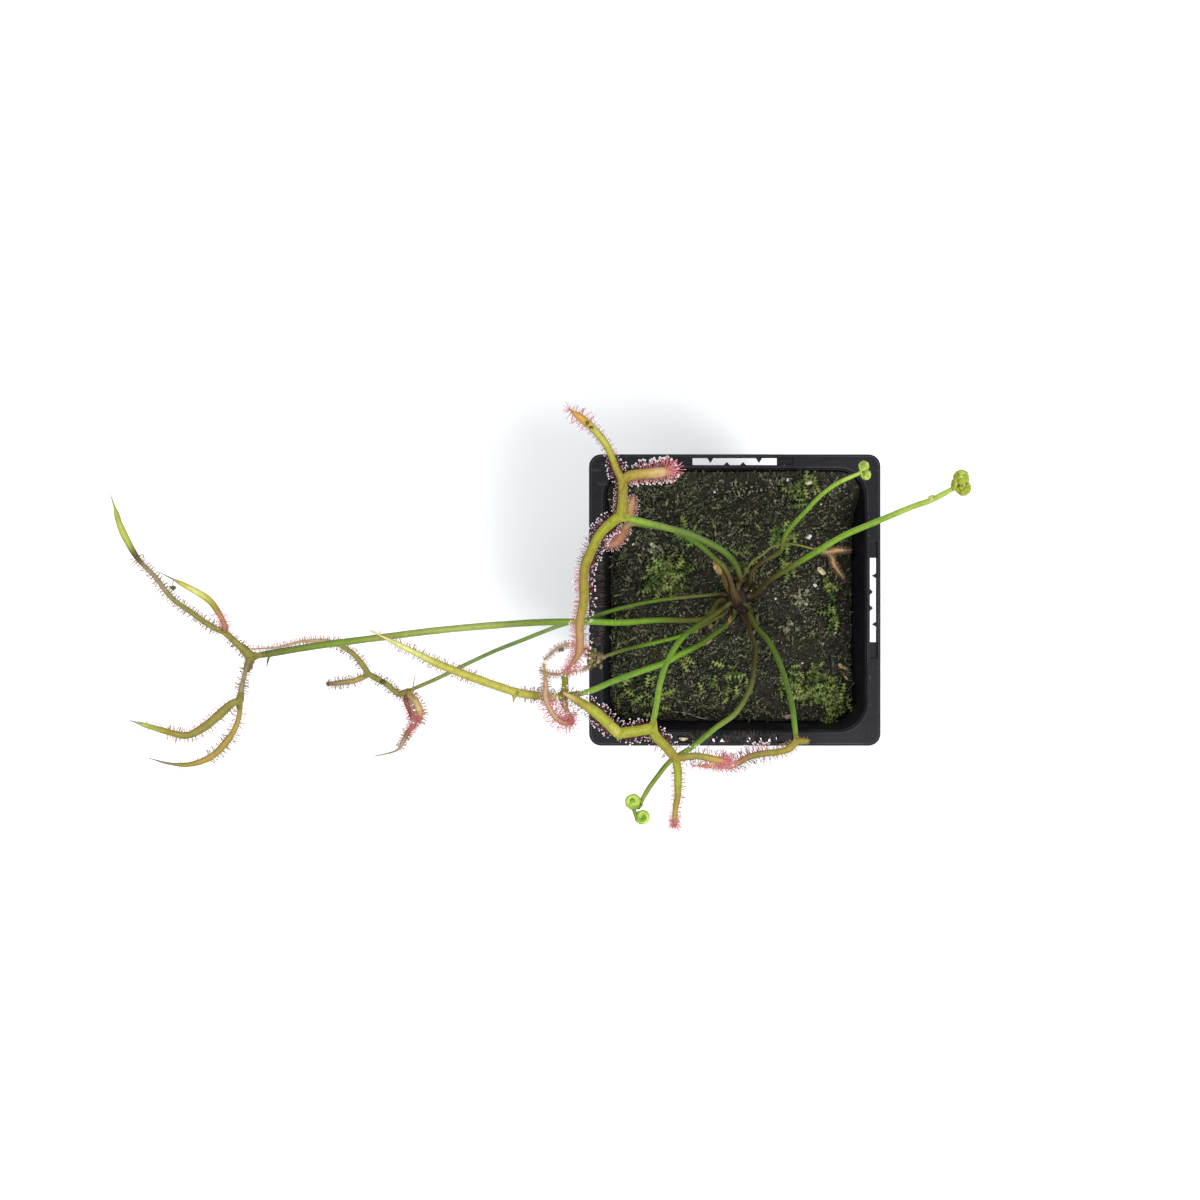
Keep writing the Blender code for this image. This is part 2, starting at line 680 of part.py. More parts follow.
def leaf_long_arm(plant):
    """Stalk to the lower left with one long arm, a stub and two curled arms."""
    fork = (-51, -24.5, 165)
    bend = (-48.5, -31, 165)
    stalk = [*crown_exit(-100, 71), (-1.2, -6.2, 76.5), (-3.5, -8.2, 81.5), (-6.5, -10, 88),
             (-12.5, -13.5, 98), (-17.5, -15.5, 106), (-23, -18, 114), (-30.5, -20, 126), (-38, -22, 139),
             (-44.5, -24, 152), fork]
    arms = [
        Arm(2.0, [fork, (-54, -24.5, 168), (-57, -24, 172), (-61.5, -23, 177), (-65.5, -21.5, 181),
                  (-72.5, -18.5, 188), (-79, -15.5, 194), (-83.5, -13, 198), (-88, -10.5, 201),
                  (-94.5, -7, 204)]),
        Arm(1.6, [fork, (-50.5, -22.5, 166), (-50.5, -20.5, 165), (-50.5, -18.5, 162)]),
        Arm(1.7, [fork, (-50.5, -27, 167), (-49.5, -29.5, 167), bend]),
        Arm(1.5, [bend, (-50.5, -31, 169), (-52.5, -29.5, 173), (-54, -27, 176), (-55, -24, 178.5),
                  (-55, -20.5, 178), (-55.5, -16, 176)]),
    ]
    spur = Arm(1.9, [(-62.5, -22.6, 178), (-62.8, -24.2, 178), (-63, -25.2, 178)])
    stipule = Arm(1.5, [(-0.5, -5.4, 74), (-0.8, -5.2, 77), (-1.3, -5.2, 80)])
    make_leaf(plant, "leaf_long_arm", "leaf", stalk, 0.95, arms, bursts=[2], bare=[spur, stipule])


def leaf_wilting(plant):
    """Thin low stalk with a wilted clump and two thin arms."""
    clump = (-42.5, -16, 118)
    stalk = [*crown_exit(-125, 68.2), (-4.5, -5.4, 69.3), (-8, -7.2, 72.5), (-14, -10, 80), (-17, -11, 85),
             (-24, -12.5, 94), (-34.5, -14.5, 107), (-41, -16.4, 116.5)]
    arms = [
        Arm(2.8, [(-40.5, -16.5, 116), clump]),
        Arm(1.2, [clump, (-47, -13.5, 121), (-50.5, -12.5, 123), (-53.5, -13.5, 124), (-57.5, -17, 121)]),
        Arm(1.1, [clump, (-44.5, -19, 117), (-48, -20, 117), (-52, -21, 118), (-55.5, -21, 118),
                  (-58.5, -20, 117)]),
    ]
    make_leaf(plant, "leaf_wilting", "leaf_red", stalk, 0.62, arms)


def leaf_lower_right(plant):
    """Stalk to the lower right corner, with a stub and one long arm that runs back left."""
    fork = (10, -37, 153)
    stalk = [*crown_exit(-40, 73), (4.6, -4, 80), (4.3, -5, 86), (5, -8, 96), (7, -11.5, 109),
             (8.5, -16.5, 122), (9.5, -22.5, 133), (10, -28.5, 143), fork]
    stub = Arm(1.3, [fork, (11.2, -37, 153.6), (12.8, -36.9, 154)])
    arms = [
        Arm(1.6, [fork, (8, -39, 153), (5, -40, 152), (1.5, -40.5, 151), (-2, -41.5, 149), (-5.5, -44, 145),
                  (-8.5, -45, 141), (-12, -45, 139), (-16.5, -45, 138)]),
    ]
    make_leaf(plant, "leaf_lower_right", "leaf_red", stalk, 0.85, arms, bursts=[0], bare=[stub])


def crozier_front(plant):
    """Young leaf under the front blade, still rolled up in two heads."""
    stalk = [*crown_exit(-62, 70), (4.2, -6.5, 77), (4.5, -10, 83), (5.5, -14.5, 89), (4.5, -19, 95),
             (3, -24.5, 103), (0, -29.5, 109), (-3.5, -33, 115), (-9, -36, 122), (-16, -40.5, 131),
             (-22.5, -43.5, 140), (-26.5, -47.5, 145), (-29.5, -51, 150), (-31.5, -54.5, 153)]
    coils = [
        Coil((-31.2, -54, 152.8), (-32.8, -52.7, 153.2), 2.4, -80, -1),
        Coil((-33, -54.2, 153.2), (-30.7, -56.7, 153.8), 2.3, -165, 1),
    ]
    make_leaf(plant, "crozier_front", "crozier", stalk, 0.8, [], coils=coils)


def crozier_small(plant):
    """Young leaf with a small two-lobed head over the upper right of the pot."""
    stalk = [*crown_exit(44, 69.2), (5.3, 6.5, 75.5), (4.9, 8.2, 80.5), (6.5, 10.5, 85), (9.5, 12.5, 90),
             (12.5, 14.5, 94), (13, 18.5, 99), (15, 22, 103), (18, 25.5, 107), (20.5, 28.5, 110),
             (23, 31, 113), (26.5, 33.5, 116), (31.5, 35.7, 119)]
    root = (31.2, 35.5, 118.8)
    coils = [Coil(root, (33.3, 37.8, 119.8), 1.6, -50, 1), Coil(root, (34.0, 35.2, 118.8), 1.6, 120, -1)]
    make_leaf(plant, "crozier_small", "crozier", stalk, 0.72, [], coils=coils)


def crozier_right(plant):
    """Young leaf that reaches furthest right, with a two-lobed head."""
    stalk = [*crown_exit(12, 70.5), (8.2, 3.8, 78), (10, 6, 86), (12.5, 8, 94), (20, 13.5, 113),
             (26.5, 18, 126), (34, 21.5, 139), (40.5, 24.5, 151), (44.5, 26, 158), (48.6, 28.4, 165)]
    root = (48.4, 28.3, 164.7)
    coils = [Coil(root, (50.0, 31.3, 166.7), 2.3, -50, 1), Coil(root, (51.3, 28.1, 165.2), 2.2, 120, -1)]
    make_leaf(plant, "crozier_right", "crozier", stalk, 0.9, [], coils=coils)


def leaf_withered(plant):
    """Old thin leaf low over the soil, with two dried arms."""
    fork = (26, 16, 70.2)
    stalk = [*crown_exit(72, 68.2), (4.2, 8.5, 69.2), (6.2, 12, 70), (9.4, 14.2, 70.4), (12.8, 16.8, 70.6),
             (18.5, 17.6, 70.5), fork]
    arms = [
        Arm(2.0, [fork, (30, 15, 70.4), (32.5, 15.6, 70.3), (37, 15.6, 70)]),
        Arm(1.7, [(30, 15, 70.4), (31.5, 13, 70.3), (32, 11, 70), (35, 7, 69.6)]),
    ]
    make_leaf(plant, "leaf_withered", "withered", stalk, 0.48, [], bare=arms)


def main():
    """Builds the pot, the soil, the rootstock and the twelve leaves."""
    clear_scene()
    plant = new_collection("potted_sundew")
    make_pot(plant)
    make_soil(plant)
    make_crown(plant)
    leaf_upper_left(plant)
    leaf_upper_left_low(plant)
    leaf_left(plant)
    leaf_far_left(plant)
    leaf_front(plant)
    leaf_long_arm(plant)
    leaf_wilting(plant)
    leaf_lower_right(plant)
    crozier_front(plant)
    crozier_small(plant)
    crozier_right(plant)
    leaf_withered(plant)


main()
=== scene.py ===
"""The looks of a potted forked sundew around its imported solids. Lengths are in millimetres and are turned to
metres where a mesh is made. +Z is up and -Y is the front."""

import json
import math
import random
from collections import namedtuple

import bpy
import numpy as np
from mathutils import Matrix, Vector, noise

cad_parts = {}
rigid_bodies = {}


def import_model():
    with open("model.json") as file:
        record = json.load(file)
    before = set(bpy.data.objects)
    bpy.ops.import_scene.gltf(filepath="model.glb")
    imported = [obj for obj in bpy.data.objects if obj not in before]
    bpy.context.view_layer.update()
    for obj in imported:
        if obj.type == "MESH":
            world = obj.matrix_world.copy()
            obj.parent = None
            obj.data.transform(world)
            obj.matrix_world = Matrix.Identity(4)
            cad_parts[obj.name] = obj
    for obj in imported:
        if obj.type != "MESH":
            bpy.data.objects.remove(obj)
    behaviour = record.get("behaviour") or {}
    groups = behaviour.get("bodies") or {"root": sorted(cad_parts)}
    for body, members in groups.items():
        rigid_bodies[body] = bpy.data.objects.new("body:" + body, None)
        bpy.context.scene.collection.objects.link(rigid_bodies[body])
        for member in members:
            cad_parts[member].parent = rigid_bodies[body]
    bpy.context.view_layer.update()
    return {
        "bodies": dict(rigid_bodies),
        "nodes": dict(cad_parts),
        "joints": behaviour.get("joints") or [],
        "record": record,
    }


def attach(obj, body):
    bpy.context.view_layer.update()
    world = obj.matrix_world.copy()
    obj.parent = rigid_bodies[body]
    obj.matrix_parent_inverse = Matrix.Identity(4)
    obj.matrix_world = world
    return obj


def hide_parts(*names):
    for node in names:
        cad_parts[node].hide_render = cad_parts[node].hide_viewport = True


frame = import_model()

MM = 0.001

# Camera and light
CAMERA_PLACE = (-41.6, 0.0, 570.0)
CAMERA_LENS = 47.7
CAMERA_SENSOR = 36.0
LIGHT_TARGET = (-0.02, 0.0, 0.1)
FLOOR_HALF = 2.5

# How near points are merged, in metres on finished pieces and in lengths of one moss shoot or tentacle
SEAM_MERGE = 0.000002
SOLID_MERGE = 0.00001
SPRIG_MERGE = 0.0005
HAIR_MERGE = 0.001

# Finishes: the span of a noise that roughness follows, and how far a leaf's lines run, in radians
GRAIN_SPAN = (0.3, 0.7)
LEAF_LINES = 14.0

# Pot, as in the solids
RIM_HALF = 45.0
RIM_TOP = 80.0
MOUTH_HALF = 40.2
POT_EDGE_ROUND = 0.3
POT_FLAT = 1.0
POT_EDGE_FROM = 28.0
POT_SMOOTH = 32.0

# Soil, as in the solids
SOIL_LEVEL = 66.0
SOIL_HALF = 38.2
SOIL_CORNER = 7.4
SOIL_LOW = 1.9
SOIL_LOW_HALF = 29.9
SOIL_CELLS = 210
SOIL_WAVES = ((0.10, 0.9), (0.31, 0.55), (0.9, 0.55), (2.1, 0.3))
SOIL_SEED = 7.3
SOIL_GAP = 0.3
SOIL_SMOOTH = 70.0
HEAP_HEIGHT = 12.0
HEAP_START = 22.0
HEAP_RUN = 15.0
INNER_LOW = (1.6, 30.3)
INNER_HIGH = (79.3, 40.2)

# Rootstock, as in the solids, with the scars of old leaves on it
CROWN_PLACE = (1.3, 0.6)
CROWN_CLEAR = 3.6
CROWN_SIDES = 24
CROWN_SCALES = 16
SCALE_LOW = 66.5
SCALE_STEP = 0.4
SCALE_OUT = 2.6
CROWN_LOBE = 0.05
CROWN_PROFILE = ((27.9, 0.0), (28.0, 0.9), (42.0, 1.7), (56.0, 2.6), (64.0, 3.3), (68.0, 3.4), (70.5, 3.4),
                 (72.0, 3.2), (73.2, 2.9), (74.0, 2.1), (74.3, 0.0))

# Leaves, as in the solids
EXIT_REACH = 4.0
EXIT_DEPTH = 1.5
EXIT_RUN = 1.4
EXIT_RISE = 0.45
SHEATH_LENGTH = 15.0
TIP_LENGTH = 5.0
TIP_SLIM = 0.20
TIP_SINK = 0.7
TIP_BLEND = (1.0, 0.6, 0.2)
STALK_FLAT = 0.92
STALK_TAPER = 0.16
TAPER_FROM = 0.45
FOOT_LENGTH = 9.0
FOOT_SHARE = 0.65
RING_SIDES = 12
RING_ANGLES = [2.0 * math.pi * k / RING_SIDES - math.pi / 2 for k in range(RING_SIDES + 1)]
END_CAP = ((0.55, 0.8), (0.85, 0.45), (0.95, 0.0))
STALK_STEP = 1.3
BLADE_STEP = 0.7
BLADE_FLAT = 0.09
BLADE_DEPTH = 0.2
BLADE_DIP = 0.35
BLADE_WAVE = 0.09
WEB_CORE = 0.55
WEB_REACH = 1.05
WEB_SHARP = 8
WEB_ON_STALK = 0.4
LUMP_SWELL = 0.7

# Radians from one to the next of pieces set round a stem, so that none stands over another
SPREAD_TURN = 2.4

# Tentacles: each kind's thickness and the radius of its drop, in lengths of one tentacle
TENTACLE_LIFTS = ((0.0, 1.6), (0.35, 1.2), (0.84, 1.0), (0.90, 1.9), (0.96, 1.7), (1.0, 0.0))
TENTACLE_BEND = 0.10
HAIR_SIDES = 3
ANY_ROLL = 6.3
DROP_PLACE = 0.94
KINDS = {"long": (0.034, 0.116), "short": (0.048, 0.118), "dry": (0.060, 0.0), "burst": (0.025, 0.0)}
LONG_FROM = 1.6
FORK_CLEAR = 0.7
MARGIN_ROOT = 0.44
FORK_FADE = 2.4
TUFT_WIDTH = 0.35
TIP_FAN = 7
BURST_STRETCH = 3.2

# The wilted leaf's clump
CLUMP_LUMPS = 26
CLUMP_TONES = ["grey", "grey", "rose", "dull", "dull"]

# Coiled young leaves
COIL_TURNS = 1.6
COIL_STEPS = 20
COIL_TUBE = 0.30
COIL_CLOSE = 0.85
COIL_EASE = 1.9
COIL_RISE = 0.18
COIL_DEEP = 1.6
COIL_BUMPS = 0.22
COIL_TENTACLES = 34
FOLD_COUNT = 8

# Widths and tones are spread evenly along the route, and fringes over equal stretches of it.
# The right margin has its own fringes where it has any.
Blade = namedtuple("Blade", "widths tones fringes route right", defaults=(None,))
Fringe = namedtuple("Fringe", "length spacing rows tint")
Coil = namedtuple("Coil", "root centre outer start side")

# Rows of tentacles are so many degrees below a blade's plane
LUSH = Fringe(2.0, 0.95, (0, 25, 50), 0.62)
LONG = Fringe(2.0, 0.9, (-10, 14, 40), 0.62)
ROSY = Fringe(2.2, 0.8, (-15, 15, 48), 0.95)
FULL = Fringe(2.5, 0.7, (-12, 12, 40), 0.80)
TIGHT = Fringe(1.2, 0.7, (-10, 14, 40), 0.62)
BLUSH = Fringe(1.7, 0.5, (-15, 10, 35), 0.96)
THICK = Fringe(1.3, 0.5, (-35, 5, 42), 0.92)
STEEP = Fringe(1.5, 1.0, (50, 70), 0.75)
PINK = Fringe(1.2, 0.6, (-20, 10, 40), 0.95)
SHORT = Fringe(1.1, 0.65, (-15, 25), 0.8)
STUBBLE = Fringe(1.15, 0.38, (-20, 20), 0.14)
COMB = Fringe(1.3, 0.36, (-10, 22), 0.24)
SPARSE = Fringe(1.2, 0.5, (-10, 25), 0.22)
FAINT = Fringe(0.85, 0.7, (5, 20), 0.22)
WILTED = Fringe(1.0, 0.36, (-55, -15, 30), 0.12)
BARE = Fringe(0.0, 0.0, (), 0.0)
DRY = (STUBBLE, COMB, SPARSE, FAINT, WILTED)

# Colours of living and dying leaf tissue
TONES = {
    "bark": (0.036, 0.018, 0.017),
    "dark": (0.038, 0.026, 0.013),
    "brown": (0.050, 0.033, 0.015),
    "dull": (0.075, 0.080, 0.022),
    "sheath": (0.066, 0.033, 0.023),
    "shade": (0.042, 0.078, 0.010),
    "deep": (0.052, 0.105, 0.011),
    "fern": (0.105, 0.160, 0.022),
    "sage": (0.130, 0.200, 0.060),
    "green": (0.112, 0.228, 0.020),
    "fresh": (0.160, 0.290, 0.026),
    "lime": (0.300, 0.410, 0.075),
    "pale": (0.215, 0.262, 0.070),
    "bud": (0.250, 0.270, 0.036),
    "olive": (0.145, 0.128, 0.034),
    "mustard": (0.190, 0.152, 0.026),
    "yellow": (0.205, 0.210, 0.024),
    "straw": (0.280, 0.258, 0.052),
    "cream": (0.400, 0.395, 0.150),
    "ochre": (0.245, 0.172, 0.044),
    "gold": (0.340, 0.190, 0.042),
    "blade": (0.262, 0.282, 0.062),
    "tan": (0.265, 0.140, 0.070),
    "dusky": (0.270, 0.120, 0.090),
    "rose": (0.300, 0.185, 0.140),
    "sand": (0.360, 0.250, 0.125),
    "crimson": (0.280, 0.070, 0.080),
    "rust": (0.190, 0.075, 0.045),
    "salmon": (0.400, 0.150, 0.098),
    "red": (0.300, 0.055, 0.050),
    "grey": (0.170, 0.135, 0.085),
    "ash": (0.200, 0.195, 0.190),
}

# Materials and tentacle shapes that the leaves share, made in main()
SKINS = {}
SHAPES = {}


# Tools


def only(item):
    """Selects one object alone and makes it active."""
    bpy.ops.object.select_all(action="DESELECT")
    item.select_set(True)
    bpy.context.view_layer.objects.active = item


def added(name):
    """The object that a primitive operator has just added, with its name."""
    item = bpy.context.object
    item.name = name
    return item


def linked(name, data):
    """A new object round some data, in the scene."""
    item = bpy.data.objects.new(name, data)
    bpy.context.scene.collection.objects.link(item)
    return item


def closed(item, near):
    """Merges the points that lie within a distance of each other and turns the faces out."""
    only(item)
    bpy.ops.object.mode_set(mode="EDIT")
    bpy.ops.mesh.select_all(action="SELECT")
    bpy.ops.mesh.remove_doubles(threshold=near)
    bpy.ops.mesh.normals_make_consistent(inside=False)
    bpy.ops.object.mode_set(mode="OBJECT")
    return item


def clean_mesh(item, smooth=80.0):
    """Closes a piece's seams and shades it smooth up to an angle."""
    closed(item, SEAM_MERGE)
    bpy.ops.object.shade_smooth_by_angle(angle=math.radians(smooth))


def joined(items, name):
    """Several objects made one."""
    only(items[0])
    for item in items:
        item.select_set(True)
    if len(items) > 1:
        bpy.ops.object.join()
    return added(name)


def settle(item, slot, materials, *nodes):
    """Lets a finished piece ride with the plant, in place of the solids that it stands for."""
    only(item)
    bpy.ops.object.transform_apply(location=True, rotation=True, scale=True)
    for material in materials:
        item.data.materials.append(material)
    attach(item, "root")
    if nodes:
        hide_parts(*nodes)
    return item


def remove(*items):
    """Removes objects that only served to shape others."""
    for item in items:
        bpy.data.objects.remove(item)


def copies(name, shape, places):
    """One mesh of many copies of a shape. Each place is a matrix in millimetres and a tint."""
    source = shape.data
    points = np.array([(*v.co, 1.0) for v in source.vertices])
    faces = [tuple(f.vertices) for f in source.polygons]
    worn = [f.material_index for f in source.polygons]
    count = len(points)
    all_points = np.vstack([(points @ np.array(matrix).T)[:, :3] for matrix, tint in places]) * MM
    all_faces = [tuple(i + k * count for i in face) for k in range(len(places)) for face in faces]
    mesh = bpy.data.meshes.new(name)
    mesh.from_pydata(all_points.tolist(), [], all_faces)
    mesh.polygons.foreach_set("material_index", worn * len(places))
    tints = mesh.attributes.new("tint", "FLOAT", "POINT")
    tints.data.foreach_set("value", np.repeat([tint for matrix, tint in places], count))
    mesh.shade_smooth()
    return linked(name, mesh)


def grid_through(name, columns, points):
    """A grid of faces drawn through points, given row by row as plain numbers."""
    rows = len(points) // (3 * (columns + 1))
    bpy.ops.mesh.primitive_grid_add(x_subdivisions=columns, y_subdivisions=rows - 1, size=1.0)
    piece = added(name)
    piece.data.vertices.foreach_set("co", points)
    return piece


def rough_ball(name, fineness, swell, pitch):
    """A ball a unit wide with a lumpy surface."""
    bpy.ops.mesh.primitive_ico_sphere_add(subdivisions=fineness, radius=0.5)
    ball = added(name)
    for point in ball.data.vertices:
        point.co *= 1.0 + swell * noise.noise(point.co * pitch)
    return ball


def outward(angle, reach=1.0, height=0.0):
    """The way out at an angle in radians, so far along and so high."""
    return Vector((reach * math.cos(angle), reach * math.sin(angle), height))


def spun(degrees):
    """A turn about the upright."""
    return Matrix.Rotation(math.radians(degrees), 4, "Z")


def turned_to(place, way, roll, size):
    """A matrix that puts a shape's origin at a place, with its +Z along a way."""
    turn = Vector((0.0, 0.0, 1.0)).rotation_difference(Vector(way).normalized()).to_matrix().to_4x4()
    spin = Matrix.Rotation(roll, 4, "Z")
    return Matrix.Translation(Vector(place)) @ turn @ spin @ Matrix.Scale(size, 4)


# Materials


def set_inputs(node, values):
    """Sets some of a node's inputs by name, with _ for a space."""
    for key, value in values.items():
        node.inputs[key.replace("_", " ")].default_value = value
    return node


def new_material(name, **values):
    """A material, its node tree and its shader, with some of the shader's own values."""
    material = bpy.data.materials.new(name)
    material.use_nodes = True
    tree = material.node_tree
    return material, tree, set_inputs(tree.nodes["Principled BSDF"], values)


def add_node(tree, kind, **values):
    """A node with some of its inputs set by name."""
    return set_inputs(tree.nodes.new(kind), values)


def ramp(tree, factor, stops):
    """A colour ramp through stops of (place, colour)."""
    node = tree.nodes.new("ShaderNodeValToRGB")
    line = node.color_ramp.elements
    while len(line) < len(stops):
        line.new(0.5)
    for element, (place, colour) in zip(line, stops):
        element.position = place
        element.color = (*colour, 1.0)
    tree.links.new(factor, node.inputs["Fac"])
    return node.outputs["Color"]


def noise_of(tree, scale, detail=4.0, rough=0.6, stretch=None):
    """A noise on Object coordinates, with scale in features per metre, times stretch along each axis."""
    where = tree.nodes.new("ShaderNodeTexCoord").outputs["Object"]
    if stretch:
        mapping = add_node(tree, "ShaderNodeMapping", Scale=stretch)
        tree.links.new(where, mapping.inputs["Vector"])
        where = mapping.outputs["Vector"]
    node = add_node(tree, "ShaderNodeTexNoise", Scale=scale, Detail=detail, Roughness=rough)
    tree.links.new(where, node.inputs["Vector"])
    return node.outputs["Fac"]


def mixed(tree, factor, first, second, blend="MIX"):
    """Two colours mixed by a factor, each a socket or a colour."""
    node = tree.nodes.new("ShaderNodeMix")
    node.data_type = "RGBA"
    node.blend_type = blend
    for name, value in (("Factor", factor), ("A", first), ("B", second)):
        socket = node.inputs[name]
        if isinstance(value, bpy.types.NodeSocket):
            tree.links.new(value, socket)
        else:
            socket.default_value = value if isinstance(value, float) else (*value, 1.0)
    return node.outputs["Result"]


def ranged(tree, factor, low, high, to_low, to_high):
    """A number carried from one range to another."""
    node = add_node(tree, "ShaderNodeMapRange", From_Min=low, From_Max=high, To_Min=to_low, To_Max=to_high)
    tree.links.new(factor, node.inputs["Value"])
    return node.outputs["Result"]


def calculated(tree, operation, *terms):
    """The outcome of a sum on one or two sockets."""
    node = tree.nodes.new("ShaderNodeMath")
    node.operation = operation
    for term, socket in zip(terms, node.inputs):
        tree.links.new(term, socket)
    return node.outputs[0]


def stained(tree, colour, stain, scale, low, high, most, detail=4.0, blend="MIX"):
    """A colour with another laid over it in patches, where a noise rises from low to high."""
    patch = ranged(tree, noise_of(tree, scale, detail), low, high, 0.0, most)
    return mixed(tree, patch, colour, stain, blend)


def painted(tree, shader, colour, grain=None, smooth=0.0, rough=1.0):
    """Gives a shader its colour and, with a grain, a roughness that follows it from smooth to rough."""
    tree.links.new(colour, shader.inputs["Base Color"])
    if grain is not None:
        tree.links.new(ranged(tree, grain, *GRAIN_SPAN, smooth, rough), shader.inputs["Roughness"])


def bumped(tree, shader, height, strength, distance):
    """Surface relief from a height in 0 to 1, its full depth given in millimetres."""
    node = add_node(tree, "ShaderNodeBump", Strength=strength, Distance=distance * MM)
    tree.links.new(height, node.inputs["Height"])
    tree.links.new(node.outputs["Normal"], shader.inputs["Normal"])


def attribute(tree, name, output="Fac"):
    """A number or colour that the mesh carries at its points."""
    node = tree.nodes.new("ShaderNodeAttribute")
    node.attribute_name = name
    return node.outputs[output]


def leaf_skin():
    """Living leaf: a painted highlight along the middle of each stalk and blade and painted shade at its
    sides, mottling and fine lengthwise lines over the leaf's own tones.
    """
    material, tree, shader = new_material(
        "leaf_skin", Specular_IOR_Level=0.11, Subsurface_Weight=0.12, Subsurface_Radius=(0.6, 0.8, 0.2),
        Subsurface_Scale=0.6 * MM)
    mottle = ramp(tree, noise_of(tree, 750.0, 5.0), (
        (0.3, (0.72, 0.76, 0.66)),
        (0.5, (1.0, 1.0, 1.0)),
        (0.72, (1.22, 1.12, 1.10)),
    ))
    colour = mixed(tree, 1.0, attribute(tree, "tone", "Color"), mottle, "MULTIPLY")
    across = attribute(tree, "across")
    # Painted light: where a stalk or blade faces up or down it is lightened as a highlight, and towards its
    # sides it is darkened as shade.
    painted_highlight_and_side_shade = ramp(tree, calculated(tree, "ABSOLUTE", across), (
        (0.0, (1.30, 1.22, 1.15)),
        (0.28, (1.10, 1.07, 1.05)),
        (0.55, (0.95, 0.97, 0.85)),
        (1.0, (0.72, 0.78, 0.62)),
    ))
    colour = mixed(tree, 1.0, colour, painted_highlight_and_side_shade, "MULTIPLY")
    lines = calculated(tree, "SINE", ranged(tree, across, -1.0, 1.0, -LEAF_LINES, LEAF_LINES))
    colour = mixed(tree, ranged(tree, lines, 0.2, 1.0, 0.0, 0.17), colour, (0.40, 0.44, 0.07))
    painted(tree, shader, colour, noise_of(tree, 500.0), 0.42, 0.62)
    stripes = ranged(tree, lines, -1.0, 1.0, 0.0, 1.0)
    bumped(tree, shader, mixed(tree, 0.5, stripes, noise_of(tree, 2600.0)), 0.5, 0.08)
    return material


def tentacle_flesh(name, clear):
    """Tentacle flesh: more or less clear, from brown through tan and maroon to bright pink."""
    material, tree, shader = new_material(name, Transmission_Weight=clear, IOR=1.2)
    colour = ramp(tree, attribute(tree, "tint"), (
        (0.0, (0.130, 0.092, 0.040)),
        (0.3, (0.480, 0.310, 0.220)),
        (0.6, (0.150, 0.013, 0.030)),
        (0.8, (0.480, 0.100, 0.130)),
        (1.0, (0.860, 0.330, 0.350)),
    ))
    colour = stained(tree, colour, (0.20, 0.02, 0.05), 1400.0, 0.3, 0.7, 0.3)
    painted(tree, shader, colour, noise_of(tree, 2500.0), 0.3, 0.5)
    return material


def glue_drop_painted_glint():
    """Clear glue on the tentacle heads, partly whitish as a painted glint."""
    material, tree, shader = new_material("glue_drop_painted_glint", Roughness=0.03, Transmission_Weight=0.62, IOR=1.36)
    # Painted glint: the drop is only partly clear, and its whitish base colour makes it show as a bright speck
    # over dark ground.
    painted(tree, shader, stained(tree, (1.0, 0.93, 0.92), (0.97, 0.98, 1.0), 700.0, 0.35, 0.65, 1.0))
    return material


def pot_plastic(name="pot_plastic", dark=(0.0030, 0.0030, 0.0050), pale=(0.0082, 0.0082, 0.0112)):
    """Near-black moulded plastic: faint grain, dust and scuffs."""
    material, tree, shader = new_material(name, Specular_IOR_Level=0.16)
    colour = stained(tree, dark, pale, 60.0, 0.42, 0.72, 1.0, 6.0)
    colour = stained(tree, colour, (0.085, 0.080, 0.075), 1900.0, 0.69, 0.75, 0.8, 2.0)
    scuff = noise_of(tree, 90.0, 5.0, 0.7, stretch=(1.0, 6.0, 1.0))
    colour = mixed(tree, ranged(tree, scuff, 0.62, 0.72, 0.0, 0.6), colour, (0.030, 0.030, 0.033))
    painted(tree, shader, colour, scuff, 0.34, 0.58)
    bumped(tree, shader, noise_of(tree, 1500.0, 3.0), 0.35, 0.05)
    return material


def peat():
    """Wet dark peat with brown crumbs, fibres and a film of algae and moss."""
    material, tree, shader = new_material("peat", Specular_IOR_Level=0.12)
    grain = noise_of(tree, 1100.0, 6.0, 0.7)
    colour = ramp(tree, grain, (
        (0.30, (0.005, 0.004, 0.003)),
        (0.48, (0.013, 0.011, 0.008)),
        (0.58, (0.027, 0.023, 0.016)),
        (0.70, (0.078, 0.064, 0.048)),
    ))
    colour = stained(tree, colour, (0.020, 0.021, 0.008), 120.0, 0.45, 0.62, 0.5)
    painted(tree, shader, colour, grain, 0.55, 0.95)
    bumped(tree, shader, grain, 0.9, 0.4)
    return material


def moss_green(name, dark, pale):
    """Moss between two greens, each shoot in its own tint."""
    material, tree, shader = new_material(name, Specular_IOR_Level=0.2)
    blotch = ranged(tree, noise_of(tree, 260.0, 3.0), 0.35, 0.65, -0.3, 0.3)
    tint = calculated(tree, "ADD", attribute(tree, "tint"), blotch)
    colour = ramp(tree, tint, ((0.0, dark), (1.0, pale)))
    colour = stained(tree, colour, (1.07, 0.87, 0.92), 130.0, 0.42, 0.6, 0.85, blend="MULTIPLY")
    painted(tree, shader, colour, noise_of(tree, 900.0), 0.5, 0.8)
    return material


def dry_matter(name, dark, pale, scale=800.0, rough=0.8):
    """Dead or mineral matter mottled between two colours, with a rough skin."""
    material, tree, shader = new_material(name, Specular_IOR_Level=0.25)
    grain = noise_of(tree, scale, 5.0, 0.65)
    painted(tree, shader, ramp(tree, grain, ((0.35, dark), (0.65, pale))), grain, rough - 0.15, rough)
    bumped(tree, shader, grain, 0.6, 0.12)
    return material


# Camera, floor and light


def set_camera():
    """The camera looks straight down, as the photograph was taken."""
    lens = bpy.data.cameras.new("camera")
    lens.lens = CAMERA_LENS
    lens.sensor_width = CAMERA_SENSOR
    camera = linked("camera", lens)
    camera.location = Vector(CAMERA_PLACE) * MM
    bpy.context.scene.camera = camera


